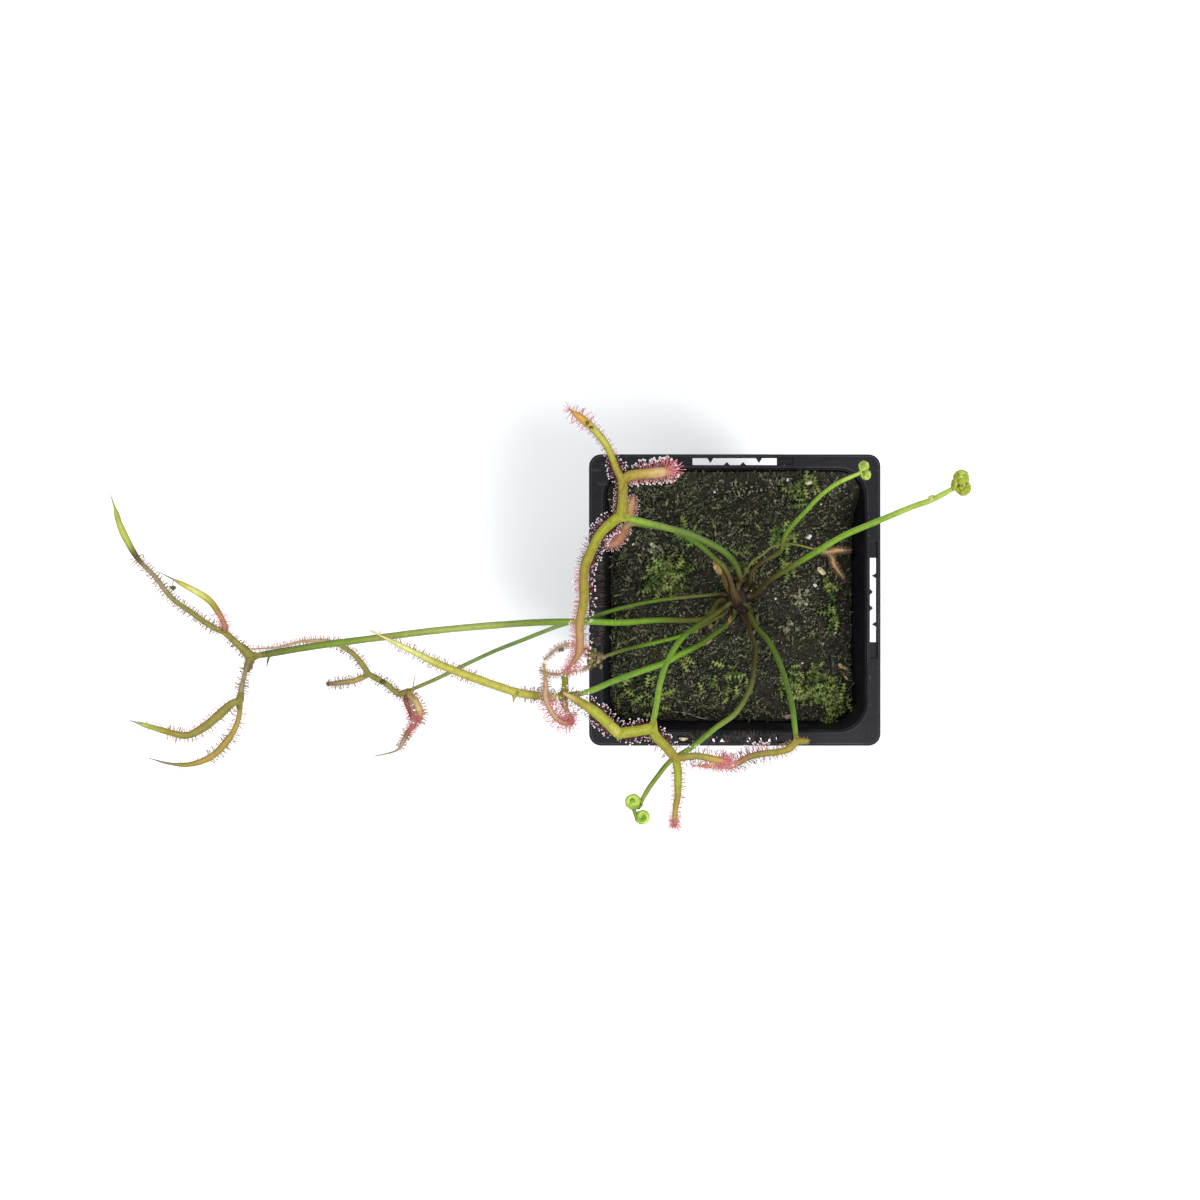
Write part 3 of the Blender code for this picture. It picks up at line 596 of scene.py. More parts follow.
def lay_floor():
    """A plain pale floor."""
    bpy.ops.mesh.primitive_plane_add(size=2.0 * FLOOR_HALF, location=(0.0, 0.0, 0.0))
    floor = added("floor")
    material, tree, shader = new_material("floor_paper", Roughness=0.9)
    painted(tree, shader, stained(tree, (0.86, 0.87, 0.88), (0.88, 0.89, 0.89), 3.0, *GRAIN_SPAN, 1.0))
    floor.data.materials.append(material)


def area_light(name, place, size, power):
    """A soft square light at a place in metres, aimed at the plant."""
    data = bpy.data.lights.new(name, "AREA")
    data.size = size
    data.energy = power
    light = linked(name, data)
    light.location = place
    light.rotation_euler = (Vector(LIGHT_TARGET) - Vector(place)).to_track_quat("-Z", "Y").to_euler()


def set_light():
    """Bright even studio light from above, a little stronger from the front right."""
    world = bpy.data.worlds.new("studio")
    world.use_nodes = True
    set_inputs(world.node_tree.nodes["Background"], {"Color": (0.95, 0.98, 1.0, 1.0), "Strength": 0.75})
    bpy.context.scene.world = world
    area_light("key", (0.55, -0.45, 1.1), 0.55, 16.0)
    area_light("fill", (-0.7, 0.5, 1.2), 0.9, 10.0)
    bpy.context.scene.view_settings.view_transform = "Standard"


# Pot


def make_pot():
    """The pot: a merged copy of its solid with rounded edges."""
    pot = frame["nodes"]["pot"].copy()
    pot.data = pot.data.copy()
    pot.parent = None
    for key in list(pot.keys()):
        del pot[key]
    pot.name = "pot_moulded"
    bpy.context.scene.collection.objects.link(pot)
    pot.data.materials.clear()
    only(pot)
    bpy.ops.object.mode_set(mode="EDIT")
    bpy.ops.mesh.select_all(action="SELECT")
    bpy.ops.mesh.remove_doubles(threshold=SOLID_MERGE)
    bpy.ops.mesh.dissolve_limited(angle_limit=math.radians(POT_FLAT))
    bpy.ops.object.mode_set(mode="OBJECT")
    edge = pot.modifiers.new("edge", "BEVEL")
    edge.width = POT_EDGE_ROUND * MM
    edge.segments = 2
    edge.limit_method = "ANGLE"
    edge.angle_limit = math.radians(POT_EDGE_FROM)
    edge.use_clamp_overlap = True
    edge.material = 1
    pot.data.materials.append(pot_plastic())
    # The rounded edges take a paler plastic: rubbed wear, and a painted highlight where light catches them.
    pot.data.materials.append(pot_plastic("pot_edge_wear_and_highlight", (0.012, 0.012, 0.016), (0.045, 0.045, 0.050)))
    bpy.ops.object.modifier_apply(modifier=edge.name)
    bpy.ops.object.shade_smooth_by_angle(angle=math.radians(POT_SMOOTH))
    flat = pot.modifiers.new("flat", "WEIGHTED_NORMAL")
    flat.keep_sharp = True
    flat.weight = 90
    bpy.ops.object.modifier_apply(modifier=flat.name)
    settle(pot, "pot", [], "pot")


# Soil


def soil_height(x, y):
    """Height of the crumbly top of the soil, heaped up to the rim along the back wall."""
    share = min(1.0, max(0.0, (y - HEAP_START) / HEAP_RUN))
    height = SOIL_LEVEL + HEAP_HEIGHT * share * share * (3.0 - 2.0 * share)
    for pitch, amount in SOIL_WAVES:
        height += amount * noise.noise(Vector((x * pitch, y * pitch, SOIL_SEED)))
    return height


def wall_half(z):
    """Half the width of the soil where it meets the pot's wall at a height."""
    share = (z - INNER_LOW[0]) / (INNER_HIGH[0] - INNER_LOW[0])
    return INNER_LOW[1] + (INNER_HIGH[1] - INNER_LOW[1]) * share - SOIL_GAP


def corner_reach(x, y, half):
    """How far a point lies out in a round corner: in x, in y and straight, or 0 where it isn't in one."""
    dx = abs(x) - (half - SOIL_CORNER)
    dy = abs(y) - (half - SOIL_CORNER)
    return dx, dy, math.hypot(dx, dy) if min(dx, dy) > 0.0 else 0.0


def in_soil(x, y, margin):
    """Whether a point lies on the soil, clear of the pot's wall."""
    half = SOIL_HALF - margin
    return max(abs(x), abs(y)) <= half and corner_reach(x, y, half)[2] <= SOIL_CORNER


def pulled_in(x, y):
    """A point of a square moved into one with round corners."""
    dx, dy, reach = corner_reach(x, y, SOIL_HALF)
    if reach <= SOIL_CORNER:
        return x, y
    middle = SOIL_HALF - SOIL_CORNER
    share = SOIL_CORNER / reach
    return math.copysign(middle + dx * share, x), math.copysign(middle + dy * share, y)


def make_soil():
    """The soil: a fine crumbly top, and plain sides and underside where the pot hides them."""
    bpy.ops.mesh.primitive_grid_add(
        x_subdivisions=SOIL_CELLS, y_subdivisions=SOIL_CELLS, size=2 * SOIL_HALF * MM)
    soil = added("soil_peat")
    for point in soil.data.vertices:
        x, y = pulled_in(point.co.x / MM, point.co.y / MM)
        height = soil_height(x, y)
        near = min(1.0, max(0.0, (max(abs(x), abs(y)) / SOIL_HALF - 0.6) / 0.4))
        spread = 1.0 + (wall_half(height) / SOIL_HALF - 1.0) * near
        point.co = Vector((x * spread, y * spread, height)) * MM
    only(soil)
    bpy.ops.object.mode_set(mode="EDIT")
    bpy.ops.mesh.select_all(action="SELECT")
    bpy.ops.mesh.remove_doubles(threshold=SOLID_MERGE)
    bpy.ops.mesh.select_all(action="DESELECT")
    bpy.ops.mesh.select_mode(type="EDGE")
    bpy.ops.mesh.select_non_manifold()
    drop = (0.0, 0.0, (SOIL_LOW - SOIL_LEVEL) * MM)
    bpy.ops.mesh.extrude_edges_move(TRANSFORM_OT_translate={"value": drop})
    shrink = SOIL_LOW_HALF / SOIL_HALF
    bpy.ops.transform.resize(value=(shrink, shrink, 0.0), center_override=(0.0, 0.0, SOIL_LOW * MM))
    bpy.ops.mesh.edge_face_add()
    bpy.ops.object.mode_set(mode="OBJECT")
    clean_mesh(soil, SOIL_SMOOTH)
    settle(soil, "soil", [peat()], "soil")


# Moss and litter

MOSS_SHOOTS = 4000
MOSS_STRANDS = 8200
RIM_SHOOTS = 110
MOSS_WAVES = ((0.09, 0.9), (0.30, 1.5), (0.75, 1.0))
MOSS_SEED = 3.1
SOIL_CRUMBS = 2300
SPILT_CRUMBS = 70

Patch = namedtuple("Patch", "x y reach amount")
FROND_PATCHES = (
    Patch(-20.0, 7.3, 6.5, 46),
    Patch(23.4, -26.9, 8.0, 46),
    Patch(33.0, -33.0, 5.0, 34),
    Patch(16.1, 20.6, 3.4, 16),
    Patch(17.4, 11.1, 2.2, 8),
    Patch(30.4, 4.4, 2.0, 7),
    Patch(32.6, -5.1, 1.8, 7),
    Patch(-15.0, -19.0, 1.6, 5),
    Patch(22.0, 34.0, 5.0, 12),
    Patch(-13.0, 20.5, 4.0, 8),
    Patch(4.0, 12.0, 5.0, 8),
    Patch(-30.0, -30.0, 9.0, 18),
    Patch(-2.0, -26.0, 8.0, 14),
)
LICHEN_PATCHES = (Patch(-24.2, 15.9, 2.6, 16), Patch(21.8, 1.0, 3.4, 26), Patch(18.6, -8.6, 2.4, 14))
PERLITE = ((16.4, 37.1, 0.45), (21.8, 38.0, 0.4), (24.6, 20.0, 0.75), (26.5, 4.7, 0.55), (36.3, -35.0, 0.4),
           (-0.4, -6.0, 0.3), (5.3, 3.8, 0.35), (6.2, 2.9, 0.3), (13.0, 31.0, 0.35), (-31.0, 17.6, 0.45),
           (-9.0, -31.0, 0.3), (29.0, -14.0, 0.4), (33.0, -10.5, 0.35), (-6.0, 33.5, 0.35),
           (18.0, -30.0, 0.3), (9.5, 14.0, 0.3), (-21.0, -9.0, 0.3), (27.5, 30.0, 0.35),
           (14.0, 0.4, 0.35), (22.5, -20.0, 0.3))

# Dried scraps on the soil, each with its width and the two ends of its middle line
Scrap = namedtuple("Scrap", "width start end skin")
SCRAPS = (
    Scrap(1.6, (-7.4, -6.8), (-4.8, -10.8), "scrap_brown"),
    Scrap(1.1, (-10.4, -14.4), (-6.0, -12.6), "scrap_pink"),
    Scrap(1.7, (16.6, -36.6), (20.2, -37.2), "scrap_pink"),
    Scrap(1.5, (33.8, -20.4), (36.6, -22.2), "scrap_tan"),
    Scrap(0.9, (35.4, -22.6), (36.8, -25.6), "scrap_tan"),
    Scrap(1.9, (27.2, 10.2), (29.8, 8.2), "scrap_cream"),
    Scrap(1.5, (21.8, 36.2), (25.0, 37.0), "scrap_cream"),
    Scrap(1.0, (28.8, 6.4), (32.6, 2.8), "scrap_tan"),
    Scrap(1.2, (8.6, -4.0), (7.4, -7.6), "scrap_brown"),
    Scrap(1.0, (-27.4, -21.0), (-30.0, -23.4), "scrap_brown"),
)
SCRAP_SKINS = {
    "scrap_brown": ((0.030, 0.020, 0.010), (0.150, 0.105, 0.050)),
    "scrap_pink": ((0.090, 0.050, 0.040), (0.300, 0.190, 0.150)),
    "scrap_tan": ((0.110, 0.065, 0.030), (0.400, 0.260, 0.130)),
    "scrap_cream": ((0.150, 0.120, 0.060), (0.500, 0.430, 0.260)),
}

SLOT_HALF = 12.4
SLOT_CLEAR = 14.5
SLOT_SEED = 6.4
SLOT_MIDDLE = 42.3
SLOT_LITTER = 3.7
SLOT_STRANDS = 360
SLOT_FRONT = (0.0, 0.04)
SLOT_LEFT = (-90.0, 1.0)
TWIG = ((-19.0, -35.4), (-16.0, -35.6), (-13.4, -36.0), (-10.6, -37.2), (-7.4, -37.7))


def sprig(name, rows, wide, narrow, arch):
    """A feathery moss shoot a unit long: a three-sided strand whose edges run out and in as leaflets."""
    points = []
    for k in range(rows):
        share = k / (rows - 1)
        edge, back = (wide, 0.05) if k % 2 else (narrow, 0.0)
        half = edge * math.sin(math.pi * (0.12 + 0.8 * share)) if 0 < k < rows - 1 else 0.0
        rise = arch * math.sin(2.4 * share)
        for across, up in ((-1, 0.0), (1, 0.0), (0, 0.35), (-1, 0.0)):
            points += [share + (back if across else 0.0), half * across, rise + up * half]
    return closed(grid_through(name, 3, points), SPRIG_MERGE)


def lobe(name):
    """One small puckered lobe of a crust, a unit wide."""
    shape = rough_ball(name, 2, 0.5, 4.0)
    for point in shape.data.vertices:
        point.co.z = point.co.z * 0.45 + 0.5 * (point.co.x ** 2 + point.co.y ** 2)
    return shape


def moss_amount(x, y):
    """How thick the moss is at a place: more on the left and at the back left, less on the right."""
    amount = 0.40 - 0.006 * x
    for pitch, share in MOSS_WAVES:
        amount += share * noise.noise(Vector((x * pitch, y * pitch, MOSS_SEED)))
    return amount


def scatter(chance, count, margin, keep):
    """Places on the soil, kept where a share of the chance allows."""
    found = []
    while len(found) < count:
        x = chance.uniform(-SOIL_HALF, SOIL_HALF)
        y = chance.uniform(-SOIL_HALF, SOIL_HALF)
        near_crown = math.hypot(x - CROWN_PLACE[0], y - CROWN_PLACE[1]) < CROWN_CLEAR
        if not near_crown and in_soil(x, y, margin) and chance.random() < keep(x, y):
            found.append((x, y))
    return found


def laid(chance, x, y, lift, tilt, size):
    """A matrix that lays a shape on the soil, turned any way and a little tilted."""
    turn = Matrix.Rotation(chance.uniform(0.0, 2.0 * math.pi), 4, "Z")
    lean = Matrix.Rotation(-chance.uniform(*tilt), 4, "Y")
    place = Matrix.Translation((x, y, soil_height(x, y) + lift))
    return place @ turn @ lean @ Matrix.Scale(size, 4)


def strewn(name, shape, places, *tones):
    """Copies of a shape as one piece of ground cover, in a moss green of its own."""
    piece = copies(name, shape, places)
    remove(shape)
    settle(piece, "soil", [moss_green(*tones)])


def make_moss():
    """Thousands of shoots and finer strands, more where the moss is thick, some lapping over the back rim."""
    chance = random.Random("moss")
    places = []
    for x, y in scatter(chance, MOSS_SHOOTS, 0.6, moss_amount):
        size = 1.0 + 2.9 * chance.random() ** 2.4
        places.append((laid(chance, x, y, -0.1, (0.1, 0.9), size), chance.random() ** 1.3))
    for k in range(RIM_SHOOTS):
        place = (chance.uniform(-28.0, 36.0), chance.uniform(37.6, 39.2), RIM_TOP - 1.1)
        way = spun(chance.uniform(40.0, 140.0)) @ Matrix.Rotation(-0.4, 4, "Y")
        size = Matrix.Scale(chance.uniform(0.8, 1.7), 4)
        places.append((Matrix.Translation(place) @ way @ size, 0.5 * chance.random()))
    strewn("moss_carpet", sprig("moss_shoot", 6, 0.17, 0.06, 0.10), places,
           "moss_dull", (0.012, 0.017, 0.007), (0.140, 0.166, 0.076))
    places = []
    for x, y in scatter(chance, MOSS_STRANDS, 0.5, lambda x, y: 0.12 + moss_amount(x, y)):
        places.append((laid(chance, x, y, 0.1, (0.1, 1.2), chance.uniform(0.6, 1.6)), chance.random() ** 1.5))
    strewn("moss_fine", sprig("moss_strand", 4, 0.15, 0.09, 0.25), places,
           "moss_pale", (0.017, 0.022, 0.011), (0.225, 0.250, 0.172))
    patches("moss_fronds", sprig("frond", 9, 0.34, 0.05, 0.16), FROND_PATCHES, 1.5, (2.6, 5.2),
            "moss_bright", (0.030, 0.055, 0.010), (0.165, 0.228, 0.058))
    patches("lichen", lobe("lobe"), LICHEN_PATCHES, 1.0, (0.6, 1.5),
            "lichen_grey", (0.07, 0.085, 0.045), (0.30, 0.32, 0.20))


def patches(name, shape, spots, thick, sizes, *tones):
    """One shape gathered in patches, lying all ways, thick times as many as the patch says."""
    chance = random.Random(name)
    places = []
    for patch in spots:
        for k in range(round(patch.amount * thick)):
            reach = patch.reach * math.sqrt(chance.random())
            angle = chance.uniform(0.0, 2.0 * math.pi)
            x = patch.x + reach * math.cos(angle)
            y = patch.y + 0.8 * reach * math.sin(angle)
            if in_soil(x, y, 1.0):
                size = chance.uniform(*sizes)
                places.append((laid(chance, x, y, 0.25, (0.0, 0.6), size), chance.random()))
    strewn(name, shape, places, *tones)


def make_crumbs():
    """Crumbs of peat, bark and grit on the soil, more where the moss is thin, and a few spilt on the rim."""
    chance = random.Random("crumbs")
    places = []
    for x, y in scatter(chance, SOIL_CRUMBS, 0.8, lambda x, y: 0.9 - moss_amount(x, y)):
        size = chance.uniform(0.3, 1.05)
        places.append((laid(chance, x, y, 0.05, (0.0, 3.1), size), chance.random() ** 2.8))
    for k in range(SPILT_CRUMBS):
        along = chance.uniform(-RIM_HALF + 2.0, RIM_HALF - 2.0)
        out = chance.choice((-1.0, 1.0)) * chance.uniform(MOUTH_HALF + 0.7, RIM_HALF - 3.2)
        x, y = (along, out) if chance.random() < 0.5 else (out, along)
        spot = Matrix.Translation((x, y, RIM_TOP + 0.03)) @ Matrix.Rotation(chance.uniform(0.0, 6.0), 4, "Z")
        if min(abs(x), abs(y)) > SLOT_CLEAR:
            places.append((spot @ Matrix.Scale(chance.uniform(0.12, 0.4), 4), 0.3 + 0.6 * chance.random()))
    strewn("soil_crumbs", rough_ball("crumb", 1, 0.6, 3.0), places,
           "crumb_brown", (0.007, 0.006, 0.005), (0.195, 0.180, 0.145))


def clog_slots():
    """Moss and litter in the front and left label slots, each strand lying on both edges of its slot."""
    chance = random.Random("slot")
    places = []
    for azimuth, clear in (SLOT_FRONT, SLOT_LEFT):
        slot = spun(azimuth)
        for k in range(SLOT_STRANDS):
            x = chance.uniform(-SLOT_HALF, SLOT_HALF)
            if noise.noise(Vector((0.6 * x, 0.0, SLOT_SEED))) + chance.uniform(-0.25, 0.25) > clear:
                continue
            turn = spun(chance.uniform(50.0, 130.0))
            low = -SLOT_MIDDLE - 0.5 * SLOT_LITTER + chance.uniform(-0.3, 0.3)
            place = Matrix.Translation((x, low, RIM_TOP + chance.uniform(0.0, 0.25)))
            size = Matrix.Scale(SLOT_LITTER * chance.uniform(1.0, 1.2), 4)
            places.append((slot @ place @ turn @ size, chance.random() ** 2.2))
    strewn("slot_moss", sprig("slot_strand", 6, 0.13, 0.05, 0.04), places,
           "slot_green", (0.005, 0.005, 0.005), (0.048, 0.036, 0.030))


def make_perlite():
    """White perlite grains, each a rough lump."""
    grains = []
    for k, (x, y, radius) in enumerate(PERLITE):
        place = Vector((x, y, soil_height(x, y) + 0.5 * radius)) * MM
        bpy.ops.mesh.primitive_ico_sphere_add(subdivisions=3, radius=radius * MM, location=place)
        grain = added("grain")
        for point in grain.data.vertices:
            point.co *= 1.0 + 0.7 * noise.noise(point.co / MM / radius * 1.1 + Vector((k * 5.0, 0.0, 0.0)))
            point.co.z *= 0.7
        grains.append(grain)
    perlite = joined(grains, "perlite")
    bpy.ops.object.shade_smooth()
    settle(perlite, "soil", [dry_matter("perlite_white", (0.30, 0.30, 0.28), (0.66, 0.66, 0.62))])


def make_scraps():
    """Dried leaf scraps on the soil and the rim, and a pale twig."""
    chance = random.Random("scraps")
    skins = {name: dry_matter(name, *colours) for name, colours in SCRAP_SKINS.items()}
    for k, scrap in enumerate(SCRAPS):
        route = []
        for share in (0.0, 0.35, 0.7, 1.0):
            x = scrap.start[0] + (scrap.end[0] - scrap.start[0]) * share + chance.uniform(-0.3, 0.3)
            y = scrap.start[1] + (scrap.end[1] - scrap.start[1]) * share + chance.uniform(-0.3, 0.3)
            route.append((x, y, soil_height(x, y) + 0.35 + chance.uniform(0.0, 0.5)))
        widths = [share * scrap.width for share in (0.4, 1.0, 0.7, 0.9, 0.3)]
        piece = blade_piece("scrap_%02d" % k, Blade(widths, "dark dark", (BARE,), route), 0.5)
        settle(piece, "soil", [skins[scrap.skin]])
    rim_scrap = Blade((0.5, 1.2, 0.9, 0.4), "dark dark", (BARE,),
                      [(-17.2, -42.6, 80.25), (-16.0, -42.9, 80.4), (-14.6, -42.7, 80.25)])
    settle(blade_piece("rim_scrap", rim_scrap, 0.5), "soil", [skins["scrap_cream"]])
    route = [(x, y, soil_height(x, y) + 0.45) for x, y in TWIG]
    twig = stalk_piece("twig", route, 0.2, 1.0, "grey grey")
    settle(twig, "soil", [dry_matter("twig_pale", (0.100, 0.085, 0.060), (0.300, 0.270, 0.210))])


# Leaf shapes


def smooth_route(points, step):
    """A smooth path through a few points, as evenly spaced points about a step apart."""
    knots = [Vector(p) for p in points]
    knots = [2 * knots[0] - knots[1]] + knots + [2 * knots[-1] - knots[-2]]
    fine = []
    for a, b, c, d in zip(knots, knots[1:], knots[2:], knots[3:]):
        for k in range(12):
            t = k / 12
            fine.append(0.5 * (2 * b + (c - a) * t + (2 * a - 5 * b + 4 * c - d) * t * t
                               + (3 * b - a - 3 * c + d) * t ** 3))
    fine.append(knots[-2])
    lengths = [0.0]
    for p, q in zip(fine, fine[1:]):
        lengths.append(lengths[-1] + (q - p).length)
    count = max(3, round(lengths[-1] / step))
    route = []
    i = 0
    for k in range(count + 1):
        goal = lengths[-1] * k / count
        while i < len(fine) - 2 and lengths[i + 1] < goal:
            i += 1
        span = lengths[i + 1] - lengths[i]
        route.append(fine[i].lerp(fine[i + 1], (goal - lengths[i]) / span))
    return route


def frames(route):
    """For each point of a route its direction, its sideways direction and its face's, kept upward."""
    found = []
    face = Vector((0.0, 0.0, 1.0))
    for i in range(len(route)):
        ahead = (route[min(i + 1, len(route) - 1)] - route[max(i - 1, 0)]).normalized()
        face = 0.7 * face + Vector((0.0, 0.0, 0.3))
        face = (face - ahead * face.dot(ahead)).normalized()
        found.append((ahead, ahead.cross(face), face))
    return found


def crown_exit(azimuth, height):
    """The first points of a stalk that leaves the rootstock's side at an azimuth in degrees."""
    out = outward(math.radians(azimuth))
    start = Vector((*CROWN_PLACE, height)) + out * EXIT_REACH
    return [start - out * EXIT_DEPTH, start + out * EXIT_RUN + Vector((0.0, 0.0, EXIT_RISE))]


def between(values, share):
    """The value at a share of the way through evenly spread values, eased from one to the next."""
    if len(values) == 1:
        return values[0]
    place = min(max(share, 0.0), 1.0) * (len(values) - 1)
    i = min(int(place), len(values) - 2)
    part = place - i
    part = part * part * (3.0 - 2.0 * part)
    return values[i] + (values[i + 1] - values[i]) * part


def half_depth(width):
    """Half the thickness of a blade of a width."""
    return min(0.5 * width, BLADE_DEPTH + BLADE_FLAT * width)


def shades_along(tones, last):
    """The colour of each point of a route, up to a last one, from tones that are spread along it."""
    colours = [Vector(TONES[tone]) for tone in tones.split()]
    return [between(colours, i / last) for i in range(last + 1)]


def section(place, frame, half, depth, dip=0.0):
    """One closed ring across a stalk or blade, begun under it, with its upper face dipped."""
    ahead, side, face = frame
    ring = []
    for angle in RING_ANGLES:
        across = math.cos(angle)
        up = math.sin(angle) * (1.0 - (dip * (1.0 - across * across) if math.sin(angle) > 0 else 0.0))
        ring.append(place + side * half * across + face * depth * up)
    return ring


def swept(name, route, halves, depths, shades, dip=0.0):
    """A closed piece along a route in millimetres: a grid wrapped round its rings and closed at both ends."""
    rings = capped(route, halves, depths, dip)
    piece = grid_through(name, RING_SIDES, [c * MM for ring in rings for point in ring for c in point])
    shades = [shades[0]] * len(END_CAP) + shades + [shades[-1]] * len(END_CAP)
    turn = [math.cos(angle) for angle in RING_ANGLES]
    coloured(piece, [shade for shade in shades for angle in RING_ANGLES], turn * len(rings))
    clean_mesh(piece)
    return piece


def coloured(piece, tones, across):
    """Stores each point's tone and how far across the leaf it lies."""
    tone = piece.data.attributes.new("tone", "FLOAT_COLOR", "POINT")
    tone.data.foreach_set("color", [c for colour in tones for c in (*colour, 1.0)])
    piece.data.attributes.new("across", "FLOAT", "POINT").data.foreach_set("value", across)


def capped(route, halves, depths, dip):
    """Rings along a route, with a rounded end past its first and last points."""
    directions = frames(route)
    rings = [section(*item, dip) for item in zip(route, directions, halves, depths)]
    for end, way in ((0, -1.0), (-1, 1.0)):
        ahead = directions[end][0] * way
        reach = depths[end]
        caps = []
        for out, share in END_CAP:
            place = route[end] + ahead * reach * out
            caps.append(section(place, directions[end], halves[end] * share, depths[end] * share))
        rings = caps[::-1] + rings if end == 0 else rings + caps
    return rings


def one_tone(piece, tone, across):
    """Gives a whole piece one tone and closes it."""
    count = len(piece.data.vertices)
    coloured(piece, [Vector(TONES[tone])] * count, [across] * count)
    clean_mesh(piece)
    return piece


def stalk_piece(name, points, radius, sheath, tones, tip=None):
    """A round stalk, wider where it sheathes the rootstock and in the blade's tone at its tip."""
    if tip:
        points = [*points[:-1], (points[-1][0], points[-1][1], points[-1][2] - TIP_SINK)]
    route = smooth_route(points, STALK_STEP)
    last = len(route) - 1
    halves = []
    for i, place in enumerate(route):
        swell = 1.0 + (sheath - 1.0) * max(0.0, 1.0 - i * STALK_STEP / SHEATH_LENGTH)
        wave = 0.85 + 0.15 * min(1.0, 1.5 * i / last) + 0.06 * noise.noise(place * 0.16)
        slim = 1.0 - TIP_SLIM * max(0.0, 1.0 - (last - i) * STALK_STEP / TIP_LENGTH)
        taper = 1.0 - STALK_TAPER * max(0.0, i / last - TAPER_FROM) / (1.0 - TAPER_FROM)
        halves.append(radius * swell * wave * slim * taper)
    shades = shades_along(tones, last)
    for i in range(min(last, int(FOOT_LENGTH / STALK_STEP))):
        shades[i] = shades[i].lerp(Vector(TONES["bark"]), FOOT_SHARE * (1.0 - i * STALK_STEP / FOOT_LENGTH))
    if tip:
        for back, share in enumerate(TIP_BLEND):
            shades[-1 - back] = shades[-1 - back].lerp(Vector(TONES[tip]), share)
    return swept(name, route, halves, [STALK_FLAT * half for half in halves], shades)


def blade_piece(name, blade, thin=1.0):
    """A strap-like blade arm along its route."""
    route = smooth_route(blade.route, BLADE_STEP)
    last = len(route) - 1
    widths = [between(blade.widths, i / last) * (1.0 + BLADE_WAVE * noise.noise(place * 0.45))
              for i, place in enumerate(route)]
    depths = [half_depth(width) * thin for width in widths]
    halves = [width / 2 for width in widths]
    return swept(name, route, halves, depths, shades_along(blade.tones, last), BLADE_DIP)


def fork_web(name, fork, ways, pulls, width, tone):
    """The flat web in a fork: a disc drawn out along each arm and rounded in between."""
    normal = Vector((0.0, 0.0, 1.0))
    flat = [(way - normal * way.dot(normal)).normalized() for way in ways]
    depth = half_depth(width)
    bpy.ops.mesh.primitive_uv_sphere_add(segments=28, ring_count=8, radius=1.0)
    web = added(name)
    for point in web.data.vertices:
        level = math.hypot(point.co.x, point.co.y)
        out = Vector((point.co.x, point.co.y, 0.0)) / level if level > 0.001 else Vector((1.0, 0.0, 0.0))
        pull = max(share * max(0.0, out.dot(way)) ** WEB_SHARP for way, share in zip(flat, pulls))
        lean = sum((max(0.0, out.dot(way)) ** WEB_SHARP * slope.z for way, slope in zip(flat, ways)), 0.0)
        reach = width * (WEB_CORE + WEB_REACH * pull) * level
        place = Vector(fork) + out * reach + normal * (depth * 1.03 * point.co.z + lean * reach * 0.9)
        point.co = place * MM
    return one_tone(web, tone, 0.35)


def lump(name, place, size, tone):
    """A crumpled lump of tissue."""
    bpy.ops.mesh.primitive_ico_sphere_add(subdivisions=3, radius=1.0)
    item = added(name)
    for point in item.data.vertices:
        swell = 1.0 + LUMP_SWELL * noise.noise(point.co * 1.7 + Vector(place))
        point.co = (Vector(place) + Vector(size) * 0.5 * swell * point.co) * MM
    return one_tone(item, tone, 0.5)


# Tentacles


def hair_shape(thick):
    """One tentacle a unit long without its drop: a bent hair with a swollen head."""
    points = []
    for height, share in TENTACLE_LIFTS:
        for k in range(HAIR_SIDES + 1):
            angle = 2.0 * math.pi * k / HAIR_SIDES
            bend = TENTACLE_BEND * height * height
            points += [thick * share * math.cos(angle) + bend, thick * share * math.sin(angle), height]
    return closed(grid_through("tentacle_hair", HAIR_SIDES, points), HAIR_MERGE)


def tentacle_shape(thick, radius):
    """One tentacle a unit long, with a clear drop round its head unless it is dry."""
    hair = hair_shape(thick)
    if radius == 0.0:
        return hair
    bend = TENTACLE_BEND * DROP_PLACE * DROP_PLACE
    bpy.ops.mesh.primitive_ico_sphere_add(subdivisions=1, radius=radius, location=(bend, 0.0, DROP_PLACE))
    drop = added("tentacle_drop")
    only(drop)
    bpy.ops.object.transform_apply(location=True)
    hair_faces = len(hair.data.polygons)
    shape = joined([hair, drop], "tentacle_shape")
    for face in shape.data.polygons:
        face.material_index = int(face.index >= hair_faces)
    return shape


def at_share(route, directions, share):
    """Place and directions at a share of a route's length."""
    spot = min(max(share, 0.0), 1.0) * (len(route) - 1)
    i = min(int(spot), len(route) - 2)
    return route[i].lerp(route[i + 1], spot - i), directions[i]


def arm_path(blade):
    """An arm's smooth route, the directions along it and its length."""
    route = smooth_route(blade.route, BLADE_STEP)
    return route, frames(route), (len(route) - 1) * BLADE_STEP


def margin_places(blade, free, chance):
    """Tentacles along both margins and the underside of one blade arm: matrices, tints and kinds."""
    route, directions, run = arm_path(blade)
    places = []
    for hand, fringes in ((-1, blade.fringes), (1, blade.right or blade.fringes)):
        part_run = run / len(fringes)
        for part, fringe in enumerate(fringes):
            if not fringe.rows:
                continue
            count = max(1, round(part_run / fringe.spacing))
            for k in range(count * len(fringe.rows)):
                row = fringe.rows[k % len(fringe.rows)]
                along = (part + (k + chance.uniform(-0.35, 0.35)) / count / len(fringe.rows)) * part_run
                near = along if free else min(along, run - along)
                if near > FORK_CLEAR:
                    fade = min(1.0, 0.45 + 0.55 * near / FORK_FADE)
                    spot = at_share(route, directions, along / run)
                    width = between(blade.widths, along / run)
                    tentacle = margin_tentacle(fringe, spot, width, fade, row, hand, chance)
                    places.append((*tentacle, kind_of(fringe)))
    return places


def kind_of(fringe):
    """Which shape of tentacle a fringe has."""
    if fringe in DRY:
        return "dry"
    return "long" if fringe.length > LONG_FROM else "short"


